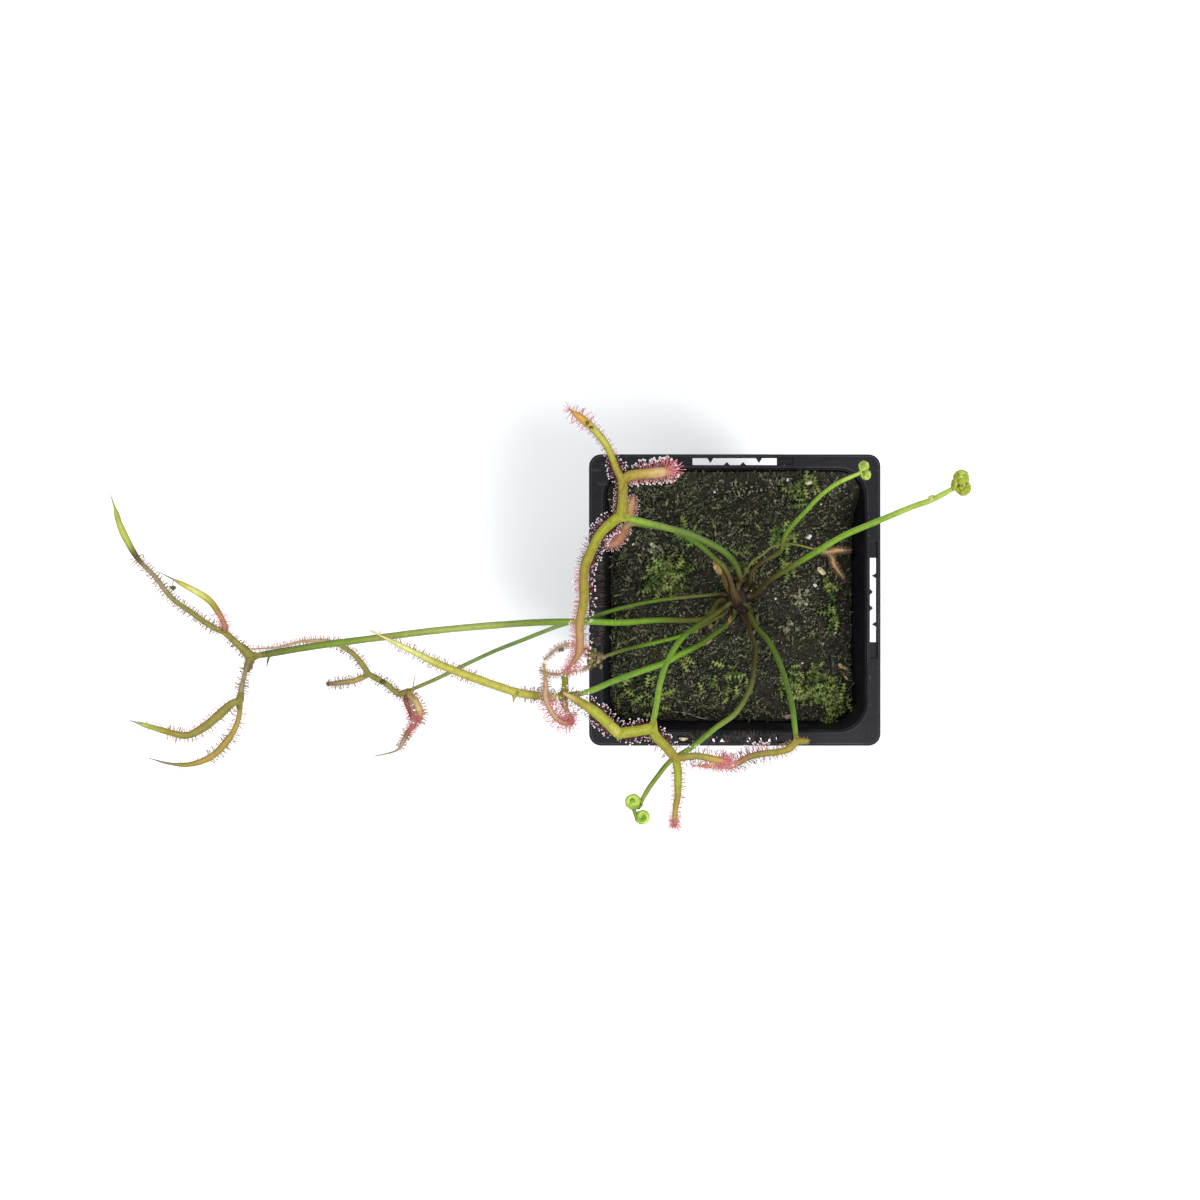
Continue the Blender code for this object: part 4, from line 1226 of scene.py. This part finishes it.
def margin_tentacle(fringe, spot, width, fade, row, hand, chance):
    """One tentacle on a margin, so many degrees below the blade's plane."""
    place, (ahead, side, face) = spot
    angle = math.radians(row + chance.gauss(0.0, 6.0))
    across = side * hand * math.cos(angle)
    down = -face * math.sin(angle)
    root = place + across * width * MARGIN_ROOT + down * half_depth(width) * 0.8
    way = across + down + ahead * chance.gauss(0.03, 0.28)
    size = fringe.length * fade * (1.1 - 0.55 * chance.random() ** 1.5) * min(1.0, 0.6 + 0.35 * width)
    matrix = turned_to(root, way, chance.uniform(0.0, ANY_ROLL), size)
    return matrix, min(1.0, max(0.0, fringe.tint + chance.uniform(-0.09, 0.09)))


def burst_places(blade, count, length, tint, chance):
    """Tentacles crowded all round the last stretch of an arm."""
    route, directions, run = arm_path(blade)
    places = []
    for k in range(count):
        share = 1.0 - BURST_STRETCH / run * (1.0 - (k + 0.5) / count)
        place, (ahead, side, face) = at_share(route, directions, share)
        angle = SPREAD_TURN * k
        forward = 0.25 + 1.1 * (k / count) ** 2
        way = side * math.cos(angle) + face * math.sin(angle) + ahead * (forward + chance.uniform(-0.4, 0.4))
        size = length * chance.uniform(0.5, 1.0)
        kind = "long" if k % 5 == 2 else "burst"
        shade = min(1.0, tint + chance.uniform(-0.05, 0.05))
        places.append((turned_to(place, way, chance.uniform(0.0, ANY_ROLL), size), shade, kind))
    return places


def tip_places(blade, chance):
    """A small fan of tentacles at the free tip of an arm."""
    fringe = blade.fringes[-1]
    route, directions, run = arm_path(blade)
    ahead, side, face = directions[-1]
    places = []
    for k in range(TIP_FAN):
        angle = math.radians(-75.0 + 25.0 * k)
        way = ahead * math.cos(angle) + side * math.sin(angle) - face * chance.uniform(-0.1, 0.5)
        size = fringe.length * chance.uniform(0.75, 1.1)
        root = route[-1] - ahead * 0.15
        tentacle = turned_to(root, way, chance.uniform(0.0, ANY_ROLL), size)
        places.append((tentacle, fringe.tint, kind_of(fringe)))
    return places


# Whole leaves


def first_tone(blade):
    """The tone that an arm begins with."""
    return blade.tones.split()[0]


def grow_leaf(node, stalk, radius, tones, blades, bursts=None, sheath=1.1, extras=()):
    """One leaf: stalk, blade arms and webs as one piece, and its tentacles as others."""
    chance = random.Random(node)
    parts = [stalk_piece(node + "_stalk", stalk, radius, sheath, tones, first_tone(blades[0])), *extras]
    starts = {}
    ends = {}
    for blade in blades:
        parts.append(blade_piece(node + "_blade", blade))
        starts.setdefault(tuple(blade.route[0]), []).append(blade)
        ends.setdefault(tuple(blade.route[-1]), []).append(blade)
    for fork, leaving in starts.items():
        if len(leaving) > 1:
            parts.append(web_at(node, fork, leaving, ends.get(fork, []), stalk))
    settle(joined(parts, node + "_flesh"), node, [SKINS["leaf"]], node)
    places = []
    for i, blade in enumerate(blades):
        free = tuple(blade.route[-1]) not in starts
        places += margin_places(blade, free, chance)
        if free and blade.fringes[-1].rows and blade.widths[-1] > TUFT_WIDTH:
            places += tip_places(blade, chance)
        if bursts and i in bursts:
            places += burst_places(blade, *bursts[i], chance)
    set_tentacles(node, places)


def set_tentacles(node, places):
    """The tentacles of a leaf, one piece for each kind that it has."""
    for kind, shape in SHAPES.items():
        chosen = [(matrix, tint) for matrix, tint, other in places if other == kind]
        if chosen:
            skins = [SKINS["tentacle"], SKINS["drop"]] if KINDS[kind][1] else [SKINS["hair"]]
            settle(copies(node + "_tentacles_" + kind, shape, chosen), node, skins)


def web_at(node, fork, leaving, arriving, stalk):
    """The web where arms part, drawn towards all that meets there."""
    before = arriving[0].route[-2] if arriving else stalk[-2]
    beyond = [*(blade.route[1] for blade in leaving), before]
    ways = [(Vector(point) - Vector(fork)).normalized() for point in beyond]
    width = max(blade.widths[0] for blade in leaving)
    pulls = [1.0] * len(leaving) + [1.0 if arriving else WEB_ON_STALK]
    return fork_web(node + "_web", fork, ways, pulls, width, first_tone(leaving[0]))


def leaf_upper_left():
    """Bright stalk over the upper left of the pot, with three arms."""
    fork = (-36.4, 21, 170)
    second = (-36, 29.5, 178)
    stalk = [*crown_exit(85, 73), (1.2, 6.6, 86), (-1, 9.5, 99), (-4, 12, 113), (-9, 14.5, 130),
             (-17.5, 17.4, 146), (-25.5, 19, 158), (-31, 20, 165), fork]
    blades = [
        Blade((2.6, 2.4, 2.5), "yellow mustard", (TIGHT,), [fork, (-36, 24.5, 174), (-36, 27, 177), second],
              (STEEP,)),
        Blade((2.1, 1.7, 1.6, 1.7, 1.8, 1.9, 1.8, 0.4), "mustard mustard yellow straw straw gold gold",
              (LONG, SHORT, SHORT, ROSY),
              [second, (-37.5, 32, 180), (-40, 37.5, 184), (-44, 42, 187), (-49, 46, 187)]),
        Blade((2.3, 2.5, 2.6, 2.1), "mustard ochre sand sand", (LUSH, FULL, FULL),
              [second, (-34.5, 30.5, 179), (-31.5, 31, 179), (-27.5, 31.5, 177), (-23.5, 32.5, 173)],
              (BLUSH, BLUSH, ROSY)),
        Blade((2.6, 2.4, 2.4, 2.3, 2.0, 0.7), "yellow yellow mustard mustard tan dusky",
              (LUSH, LUSH, LUSH, LUSH, ROSY),
              [fork, (-38, 20, 171), (-41.5, 16.5, 175), (-44, 11.5, 179), (-45.5, 7, 181), (-45.5, 0, 183),
               (-46.5, -5.5, 183), (-46.5, -10.5, 182), (-47, -13.5, 180), (-50, -17.5, 176)],
              (LUSH, LONG, BLUSH, BLUSH, BLUSH)),
    ]
    tones = "dark brown dull shade deep deep deep fern fresh"
    specks = [lump("speck", (-43.7, 41.6, 187.2), (1.0, 0.7, 0.5), "dark"),
              lump("speck", (-44.6, 42.6, 187.5), (0.8, 0.9, 0.5), "brown")]
    grow_leaf("leaf_upper_left", stalk, 0.95, tones, blades, {2: (75, 3.8, 0.97), 3: (36, 2.6, 0.95)},
              extras=specks)


def leaf_upper_left_low():
    """Darker stalk under the first one, from a brown sheath with a tan stipule, with two small red arms."""
    fork = (-33, 21, 135)
    stalk = [(0.9, 0.3, 74), (-1, 3, 83), (-2.5, 6.5, 91), (-5, 10, 99), (-8, 12, 105), (-13.5, 16, 115),
             (-21, 19.5, 125), fork]
    blades = [
        Blade((1.4, 2.2, 2.4, 0.9), "olive tan tan", (PINK,),
              [fork, (-33.5, 23.5, 137), (-33, 26, 138), (-32.5, 28, 137)]),
        Blade((1.6, 2.0, 2.1, 1.4), "grey rust dusky dusky", (PINK,),
              [fork, (-34.5, 20, 136), (-36, 17, 137), (-37.5, 15.5, 135), (-40, 15, 132)]),
    ]
    tones = "sheath sheath sheath dull shade deep deep deep deep"
    wrap = Blade((2.2, 2.8, 3.2, 2.5, 0.9), "sheath sheath sheath brown ochre", (BARE,),
                 [(0.4, 1.0, 74.5), (-1.6, 3.4, 82.6), (-3.6, 6.6, 90.5), (-5.6, 9.4, 96.8),
                  (-7.3, 11, 100.5)])
    grow_leaf("leaf_upper_left_low", stalk, 0.85, tones, blades, sheath=2.5,
              extras=[blade_piece("wrap", wrap)])
    bract("stipule_upper_left", "leaf_upper_left_low", (1.0, 2.0, 1.7, 0.4),
          [(-5.4, 7.9, 95.9), (-6.6, 9.2, 98.0), (-7.5, 10.3, 99.8), (-8.2, 11.2, 101.2)])


def leaf_left():
    """Thin stalk going left, forked twice, with two curled arms."""
    fork = (-89, -22.5, 179)
    second = (-97.5, -18, 185)
    stalk = [*crown_exit(165, 71.5), (-8.5, 1.5, 81), (-23.5, 0, 96), (-36, -2.5, 109), (-46, -5.5, 120),
             (-52.5, -7, 129), (-63, -11, 142), (-69.5, -13.5, 151), (-77, -17, 162), (-82, -19.5, 170), fork]
    blades = [
        Blade((1.5, 1.3, 1.4), "olive olive", (STUBBLE,),
              [fork, (-91, -23, 181), (-93.5, -20.5, 183), second]),
        Blade((1.4, 1.2, 0.9, 0.6, 0.5, 0.25), "olive olive rose rose rose", (STUBBLE, COMB, COMB, COMB),
              [second, (-100.5, -13.5, 187), (-104, -11, 187), (-107.5, -10, 186), (-113.5, -10, 185),
               (-120, -11.5, 183), (-127, -12, 180)]),
        Blade((1.3, 1.2, 1.3, 0.9), "olive ochre grey rust", (STUBBLE,),
              [second, (-101, -19.5, 185), (-104, -20, 184), (-108, -20.5, 182)]),
        Blade((1.4, 1.6, 1.7, 1.2), "ochre sand sand dusky", (COMB,),
              [fork, (-87.8, -23.7, 181), (-86.1, -25.3, 183), (-85.4, -27.5, 183), (-86, -29.8, 182)]),
        Blade((1.3, 1.3, 1.4, 1.1, 0.9, 0.4, 0.25), "rust crimson crimson rust rose grey ash",
              (THICK, THICK, STUBBLE, FAINT),
              [fork, (-89.2, -25, 179.5), (-88.2, -27.5, 179), (-87.5, -30.5, 177.5), (-89.5, -33, 174),
               (-91, -35.5, 171), (-93, -38, 169), (-98.5, -39.5, 168)]),
        Blade((0.6, 0.3, 0.22), "ochre tan", (BARE,),
              [(-88.0, -23.4, 180.6), (-87.2, -21.3, 183), (-86.2, -18.0, 186)]),
    ]
    tones = "brown dull deep deep sage sage sage olive"
    knots = [lump("knot", (-94.2, -20.0, 184.2), (1.2, 0.9, 0.9), "dark"),
             lump("knot", (-108.0, -20.5, 182.1), (0.9, 1.0, 0.8), "brown")]
    grow_leaf("leaf_left", stalk, 0.6, tones, blades, {3: (60, 2.3, 0.84)}, extras=knots)


def leaf_far_left():
    """The longest stalk, with two forks of two long arms each."""
    fork = (-118.5, -12.5, 220)
    upper = (-123, -7, 225)
    lower = (-120, -22, 224)
    stalk = [*crown_exit(-170, 69.2), (-6.5, -3.4, 73), (-10.5, -6, 80), (-24.5, -6, 97), (-35.5, -6.5, 113),
             (-46, -6, 128), (-58, -6, 144), (-68.5, -6.5, 159), (-81.5, -7.5, 175), (-94.5, -9, 191),
             (-106.5, -10.5, 206), fork]
    blades = [
        Blade((2.3, 1.4, 1.4), "olive olive", (STUBBLE,), [fork, (-120, -10.5, 222), upper]),
        Blade((1.4, 1.2, 1.1, 1.0, 1.0, 0.9, 0.9, 1.4, 1.55, 1.3, 0.4, 0.13),
              "olive olive olive olive grey grey brown blade blade blade ash",
              (STUBBLE, STUBBLE, STUBBLE, BARE, BARE),
              [upper, (-126, -5.5, 226), (-130, -2.5, 227), (-133.5, 0.5, 229), (-136.5, 5, 231),
               (-140, 9, 232), (-143, 15, 233), (-145, 19.5, 231), (-147, 23, 228)]),
        Blade((1.2, 1.2, 1.3, 1.5, 1.6, 1.5, 1.1, 0.35, 0.15),
              "rust dusky dusky mustard straw cream straw grey ash", (PINK, BARE, BARE),
              [upper, (-122.5, -5, 228), (-123, -3, 230), (-124.5, 0, 233), (-128, 2.5, 235),
               (-134.5, 6, 236)]),
        Blade((2.2, 1.0, 0.9, 1.2, 1.8), "olive grey grey grey olive", (STUBBLE,),
              [fork, (-119, -15, 222), (-119.5, -17.5, 223), lower]),
        Blade((1.5, 1.9, 1.9, 1.5, 1.25, 1.1, 0.2), "olive olive olive olive mustard blade ash",
              (SPARSE, SPARSE, FAINT),
              [lower, (-121.5, -22.5, 225), (-124, -25, 227), (-127, -27.5, 228), (-130, -29, 229),
               (-133.5, -28.5, 229), (-143, -26, 227)], (PINK, PINK, SPARSE, FAINT)),
        Blade((0.9, 1.1, 1.55, 1.4, 1.0, 0.6, 0.2), "olive ochre ochre ochre mustard grey ash",
              (SPARSE, SPARSE, FAINT, BARE),
              [lower, (-120, -24.5, 224), (-121, -28, 224), (-124, -32, 223), (-127, -34.5, 223),
               (-131.5, -36, 222), (-136.5, -36, 220), (-141.5, -35, 218)]),
        Blade((0.7, 0.5, 0.2), "olive brown", (BARE,),
              [(-115, -12, 216), (-115.6, -13.4, 215.6), (-116, -14.8, 215)]),
        Blade((0.3, 0.2, 0.2), "dusky grey", (BARE,),
              [(-131.2, 4.4, 235.6), (-131.6, 3.6, 235.1), (-131.7, 2.6, 234.3)]),
    ]
    tones = "dull dull green green fern pale pale fern dull"
    insect = [lump("insect", (-131.7, 2.6, 234.2), (1.1, 0.9, 0.7), "dark")]
    grow_leaf("leaf_far_left", stalk, 0.95, tones, blades, extras=insect)


def leaf_front():
    """Yellow blade over the front edge of the pot."""
    fork = (-28.5, -32.5, 168)
    elbow = (-37, -33.5, 171)
    second = (-22.5, -40, 169)
    stalk = [*crown_exit(-145, 73.3), (-5, -3.6, 79), (-7.5, -5, 84), (-12.5, -7.5, 96), (-18.5, -11.5, 113),
             (-23, -17, 131), (-25.5, -22.5, 144), (-27, -28, 156), fork]
    blades = [
        Blade((2.7, 2.6, 2.8), "yellow yellow", (LUSH,), [fork, (-32.5, -33, 170), elbow]),
        Blade((2.8, 2.7, 2.6, 2.3, 0.9), "straw yellow yellow mustard sand", (LUSH,),
              [elbow, (-39, -31.5, 172), (-41.5, -29, 174), (-44.5, -26.5, 176), (-50.5, -23, 177)]),
        Blade((2.6, 2.4, 2.4), "yellow mustard", (LUSH,),
              [fork, (-27.5, -34.5, 168), (-25, -37, 169), second]),
        Blade((1.9, 1.8, 1.8, 1.6), "mustard olive ochre salmon", (LUSH, ROSY),
              [second, (-19.5, -39.5, 169), (-16.5, -39.5, 168), (-12.5, -40.5, 166), (-8.5, -41.5, 163)]),
        Blade((2.1, 1.9, 1.6, 1.3, 1.2), "yellow yellow mustard ochre dusky", (SPARSE, SPARSE, SHORT, PINK),
              [second, (-22, -43, 170), (-22, -46.5, 170), (-22, -49.5, 169), (-22.5, -53.5, 166),
               (-22.4, -58.2, 161)]),
        Blade((3.3, 1.5, 0.2), "yellow mustard", (BARE,),
              [(-37.1, -33.1, 171), (-37.1, -34.4, 171), (-37, -35.4, 171)]),
    ]
    tones = "dull dull deep green green fresh fresh"
    grow_leaf("leaf_front", stalk, 0.86, tones, blades, {3: (80, 3.2, 0.99), 4: (60, 2.8, 0.97)})


def leaf_long_arm():
    """Stalk to the lower left with one long arm, a stub and two curled arms."""
    fork = (-51, -24.5, 165)
    bend = (-48.5, -31, 165)
    stalk = [*crown_exit(-100, 71), (-1.2, -6.2, 76.5), (-3.5, -8.2, 81.5), (-6.5, -10, 88),
             (-12.5, -13.5, 98), (-17.5, -15.5, 106), (-23, -18, 114), (-30.5, -20, 126), (-38, -22, 139),
             (-44.5, -24, 152), fork]
    blades = [
        Blade((2.2, 2.1, 2.0, 2.0, 1.8, 1.3, 0.25), "yellow straw straw straw straw cream cream",
              (SPARSE, FAINT, SPARSE, SPARSE),
              [fork, (-54, -24.5, 168), (-57, -24, 172), (-61.5, -23, 177), (-65.5, -21.5, 181),
               (-72.5, -18.5, 188), (-79, -15.5, 194), (-83.5, -13, 198), (-88, -10.5, 201),
               (-94.5, -7, 204)]),
        Blade((1.8, 1.7, 1.5), "yellow mustard", (FAINT,),
              [fork, (-50.5, -22.5, 166), (-50.5, -20.5, 165), (-50.5, -18.5, 162)]),
        Blade((1.8, 1.5, 1.4), "mustard dusky dusky", (ROSY,),
              [fork, (-50.5, -27, 167), (-49.5, -29.5, 167), bend]),
        Blade((1.4, 1.4, 1.3, 1.2, 0.4), "red dusky rose rose ochre", (ROSY, ROSY, COMB),
              [bend, (-50.5, -31, 169), (-52.5, -29.5, 173), (-54, -27, 176), (-55, -24, 178.5),
               (-55, -20.5, 178), (-55.5, -16, 176)]),
        Blade((1.9, 1.0, 0.3), "olive straw", (BARE,),
              [(-62.5, -22.6, 178), (-62.8, -24.2, 178), (-63, -25.2, 178)]),
    ]
    tones = "dull deep deep green green green fresh sage"
    grow_leaf("leaf_long_arm", stalk, 0.90, tones, blades, {2: (60, 3.1, 0.94)})
    bract("stipule_front", "leaf_long_arm", (0.9, 1.7, 1.2, 0.3),
          [(-0.5, -5.4, 74), (-0.9, -5.6, 76.5), (-1.5, -6.2, 79), (-2.4, -7.4, 81.6)])


def leaf_wilting():
    """Thin low stalk with a wilted clump and two thin arms."""
    clump = (-43.6, -15.8, 118.3)
    stalk = [*crown_exit(-125, 68.2), (-4.5, -5.4, 69.3), (-8, -7.2, 72.5), (-14, -10, 80), (-17, -11, 85),
             (-24, -12.5, 94), (-34.5, -14.5, 107), (-41, -16.4, 116.5)]
    blades = [
        Blade((1.2, 1.8, 1.6), "grey grey", (WILTED,), [(-40.2, -16.4, 115.8), (-41.8, -16.2, 117), clump]),
        Blade((1.4, 0.9, 0.7, 0.6, 0.3), "grey dull rose rose rose", (WILTED, COMB, COMB),
              [clump, (-47, -13.5, 121), (-50.5, -12.5, 123), (-53.5, -13.5, 124), (-57.5, -17, 121)]),
        Blade((1.3, 0.8, 0.7, 0.7, 0.4), "grey rose rose dusky salmon", (WILTED, COMB, COMB),
              [clump, (-44.5, -19, 117), (-48, -20, 117), (-52, -21, 118), (-55.5, -21, 118),
               (-58.5, -20, 117)]),
    ]
    tones = "dull dull green green deep olive"
    chance = random.Random("clump")
    dead = [lump("curl", (-52.5, -13.9, 123.3), (1.6, 1.3, 0.9), "dark")]
    for k in range(CLUMP_LUMPS):
        place = (chance.gauss(-43.8, 1.1), chance.gauss(-16.0, 1.4), chance.gauss(118.2, 0.5))
        size = [chance.uniform(0.6, 1.6) for axis in range(3)]
        dead.append(lump("clump", place, size, chance.choice(CLUMP_TONES)))
    grow_leaf("leaf_wilting", stalk, 0.62, tones, blades, extras=dead)


def leaf_lower_right():
    """Stalk to the lower right corner, with a stub and one long arm that runs back left."""
    fork = (10, -37, 153)
    stalk = [*crown_exit(-40, 73), (4.6, -4, 80), (4.3, -5, 86), (5, -8, 96), (7, -11.5, 109),
             (8.5, -16.5, 122), (9.5, -22.5, 133), (10, -28.5, 143), fork]
    blades = [
        Blade((1.9, 1.8, 1.7, 1.6, 1.5, 1.2, 0.4), "mustard mustard olive tan salmon salmon red",
              (SPARSE, LUSH, LUSH, PINK),
              [fork, (8, -39, 153), (5, -40, 152), (1.5, -40.5, 151), (-2, -41.5, 149), (-5.5, -44, 145),
               (-8.5, -45, 141), (-12, -45, 139), (-16.5, -45, 138)], (SPARSE, FULL, FULL, PINK)),
        Blade((1.6, 1.5, 0.9), "mustard mustard", (FAINT,), [fork, (11.2, -37, 153.6), (12.8, -36.9, 154)]),
    ]
    tones = "dull dull shade deep deep deep green"
    grow_leaf("leaf_lower_right", stalk, 0.85, tones, blades)


def leaf_withered():
    """Old thin leaf low over the soil, with two dried arms."""
    fork = (26, 16, 70.2)
    stalk = [*crown_exit(72, 68.2), (4.2, 8.5, 69.2), (6.2, 12, 70), (9.4, 14.2, 70.4), (12.8, 16.8, 70.6),
             (18.5, 17.6, 70.5), fork]
    blades = [
        Blade((1.4, 1.8, 1.9, 1.4, 0.5), "olive grey tan rose rust", (WILTED,),
              [fork, (30, 15, 70.4), (32.5, 15.6, 70.3), (37, 15.6, 70)]),
        Blade((1.6, 1.5, 1.2, 0.5), "grey tan grey", (WILTED,),
              [(30, 15, 70.4), (31.5, 13, 70.3), (32, 11, 70), (35, 7, 69.6)]),
    ]
    grow_leaf("leaf_withered", stalk, 0.48, "brown dull dull dull dull olive", blades)


def bract(name, node, widths, route):
    """A papery scale at the foot of a stalk."""
    scale = blade_piece(name, Blade(widths, "tan tan", (BARE,), route), 0.45)
    settle(scale, node, [SKINS["papery"]])


# Coiled young leaves


def coil_piece(name, coil, tones):
    """One rolled-up young arm: a spiral whose turns touch, thicker outside, its axis near upright."""
    tube = COIL_TUBE * coil.outer
    centre = Vector(coil.centre)
    root = Vector(coil.root)
    route = []
    halves = []
    count = round(COIL_STEPS * COIL_TURNS)
    for k in range(count + 1):
        share = k / count
        angle = math.radians(coil.start) + coil.side * 2.0 * math.pi * COIL_TURNS * share
        reach = (coil.outer - tube) * (1.0 - COIL_CLOSE * share ** COIL_EASE)
        place = outward(angle, reach, COIL_RISE * coil.outer * share)
        route.append(centre + place)
        bumps = 0.1 * math.sin(9.0 * angle) + COIL_BUMPS * noise.noise((centre + place) * 1.3)
        halves.append(tube * (1.0 - 0.3 * share) * (1.0 + bumps))
    route = [root, root.lerp(route[0], 0.5)] + route
    halves = [halves[0] * 0.9, halves[0] * 0.95] + halves
    depths = [half * COIL_DEEP for half in halves]
    return swept(name, route, halves, depths, shades_along(tones, len(route) - 1))


def coil_tentacles(coil, chance):
    """Short folded tentacles that show between the turns of a coil."""
    places = []
    for k in range(COIL_TENTACLES):
        angle = chance.uniform(0.0, 2.0 * math.pi)
        reach = coil.outer * math.sqrt(chance.uniform(0.0, 0.7))
        place = Vector(coil.centre) + outward(angle, reach, 0.35)
        way = outward(angle, -1.0, 0.9)
        places.append((turned_to(place, way, angle, chance.uniform(0.45, 0.8)), chance.uniform(0.0, 0.35)))
    return places


def fold_lumps(node, coil, tones, chance):
    """Folded tentacles pressed together over a coil, as small lumps."""
    lumps = []
    for k in range(FOLD_COUNT):
        reach = 0.55 * coil.outer * math.sqrt((k + 0.5) / FOLD_COUNT)
        place = Vector(coil.centre) + outward(SPREAD_TURN * k, reach, 0.5 * coil.outer)
        size = [coil.outer * chance.uniform(0.55, 0.85) for axis in range(3)]
        lumps.append(lump(node + "_fold", place, size, tones[k % len(tones)]))
    return lumps


def grow_crozier(node, stalk, radius, tones, coils, coil_tones, sheath=1.1, extras=(), folds=""):
    """One young leaf whose arms are still rolled up round a solid core."""
    chance = random.Random(node)
    parts = [stalk_piece(node + "_stalk", stalk, radius, sheath, tones), *extras]
    for coil in coils:
        parts.append(coil_piece(node + "_coil", coil, coil_tones))
        size = (1.35 * coil.outer, 1.35 * coil.outer, 0.9 * coil.outer)
        parts.append(lump(node + "_core", coil.centre, size, coil_tones.split()[2]))
        if folds:
            parts += fold_lumps(node, coil, folds.split(), chance)
    settle(joined(parts, node + "_flesh"), node, [SKINS["leaf"]], node)
    places = [place for coil in coils for place in coil_tentacles(coil, chance)]
    buds = copies(node + "_tentacles", SHAPES["short"], places)
    settle(buds, node, [SKINS["tentacle"], SKINS["drop"]])


def crozier_front():
    """Young leaf under the front blade, still rolled up in two heads."""
    stalk = [*crown_exit(-62, 70), (4.2, -6.5, 77), (4.5, -10, 83), (5.5, -14.5, 89), (4.5, -19, 95),
             (3, -24.5, 103), (0, -29.5, 109), (-3.5, -33, 115), (-9, -36, 122), (-16, -40.5, 131),
             (-22.5, -43.5, 140), (-26.5, -47.5, 145), (-29.5, -51, 150), (-31.5, -54.5, 153)]
    coils = [
        Coil((-31.2, -54, 152.8), (-32.8, -52.8, 153.2), 2.3, -80, -1),
        Coil((-33, -54.2, 153.2), (-30.5, -56.7, 153.8), 2.15, -165, 1),
    ]
    tones = "bark bark dark dull fern green fern pale"
    grow_crozier("crozier_front", stalk, 0.8, tones, coils, "fern lime lime green green")


def crozier_small():
    """Young leaf with a small two-lobed head over the upper right of the pot."""
    stalk = [*crown_exit(44, 69.2), (5.3, 6.5, 75.5), (4.9, 8.2, 80.5), (6.5, 10.5, 85), (9.5, 12.5, 90),
             (12.5, 14.5, 94), (13, 18.5, 99), (15, 22, 103), (18, 25.5, 107), (20.5, 28.5, 110),
             (23, 31, 113), (26.5, 33.5, 116), (31.5, 35.7, 119), (32.4, 36.2, 119)]
    root = (32.3, 36.2, 118.8)
    coils = [Coil(root, (33.2, 37.9, 119.8), 1.65, 225, -1), Coil(root, (33.9, 35.6, 118.8), 1.6, 185, 1)]
    tones = "dark brown brown dull fern green fresh lime"
    grow_crozier("crozier_small", stalk, 0.72, tones, coils, "lime lime pale lime", 2.0,
                 folds="lime pale lime cream pale")


def crozier_right():
    """Young leaf that reaches furthest right, with a two-lobed head."""
    stalk = [*crown_exit(12, 70.5), (8.2, 3.8, 78), (10, 6, 86), (12.5, 8, 94), (20, 13.5, 113),
             (26.5, 18, 126), (34, 21.5, 139), (40.5, 24.5, 151), (44.5, 26, 158), (48.7, 28.6, 165)]
    root = (48.6, 28.7, 164.8)
    coils = [Coil(root, (50.1, 31.0, 166.7), 2.2, 205, -1), Coil(root, (50.95, 28.6, 165.2), 2.15, 195, 1)]
    tones = "dark brown dull green fresh fresh lime lime"
    knots = [lump("knot", (44.3, 26.3, 158.4), (1.9, 1.6, 1.7), "cream"),
             lump("fold", (48.9, 29.6, 165.3), (2.2, 2.4, 2.0), "bud")]
    grow_crozier("crozier_right", stalk, 0.88, tones, coils, "bud bud lime bud lime", 1.5, knots,
                 "bud lime bud pale bud")


# Rootstock


def make_crown():
    """The rootstock: a lumpy short stem with its root, ringed by the scars of old leaf bases."""
    points = []
    for z, radius in CROWN_PROFILE:
        for k in range(CROWN_SIDES + 1):
            angle = 2.0 * math.pi * k / CROWN_SIDES
            lobes = 1.0 + CROWN_LOBE * math.sin(3.0 * angle + z) + 0.03 * math.sin(9.0 * angle + 2.0 * z)
            reach = radius * lobes
            place = (CROWN_PLACE[0] + reach * math.cos(angle), CROWN_PLACE[1] + reach * math.sin(angle), z)
            points += [c * MM for c in place]
    crown = grid_through("crown_stock", CROWN_SIDES, points)
    clean_mesh(crown)
    scales = []
    chance = random.Random("crown")
    for k in range(CROWN_SCALES):
        way = outward(SPREAD_TURN * k)
        foot = Vector((*CROWN_PLACE, SCALE_LOW + SCALE_STEP * k)) + way * SCALE_OUT
        tip = foot + way * chance.uniform(0.5, 1.6) + Vector((0.0, 0.0, chance.uniform(1.2, 2.6)))
        route = [foot, foot.lerp(tip, 0.5) + way * 0.3, tip]
        scales.append(blade_piece("crown_scale", Blade((1.6, 1.3, 0.3), "bark dark", (BARE,), route), 0.5))
    route = [(1.0, 1.6, 74.2), (2.2, -2.0, 72.6), (3.6, -5.2, 69.2), (5.2, -8.6, 66.6)]
    scales.append(blade_piece("old_sheath", Blade((2.2, 2.5, 1.9, 0.7), "bark dark", (BARE,), route), 0.7))
    settle(joined([crown, *scales], "crown_stock"), "crown", [SKINS["crown"]], "crown")


def main():
    """Dresses the plant and its pot."""
    set_camera()
    lay_floor()
    set_light()
    make_pot()
    make_soil()
    make_moss()
    make_crumbs()
    make_perlite()
    make_scraps()
    clog_slots()
    SKINS.update(leaf=leaf_skin(), tentacle=tentacle_flesh("tentacle_flesh", 0.45), drop=glue_drop_painted_glint(),
                 hair=tentacle_flesh("tentacle_dry", 0.15),
                 papery=dry_matter("papery", (0.11, 0.062, 0.022), (0.36, 0.25, 0.105)),
                 crown=dry_matter("crown_bark", (0.007, 0.004, 0.003), (0.034, 0.017, 0.011), 900.0, 0.85))
    SHAPES.update({kind: tentacle_shape(*sizes) for kind, sizes in KINDS.items()})
    make_crown()
    for grow in (leaf_upper_left, leaf_upper_left_low, leaf_left, leaf_far_left, leaf_front, leaf_long_arm,
                 leaf_wilting, leaf_lower_right, leaf_withered, crozier_front, crozier_small, crozier_right):
        grow()
    remove(*SHAPES.values())


main()
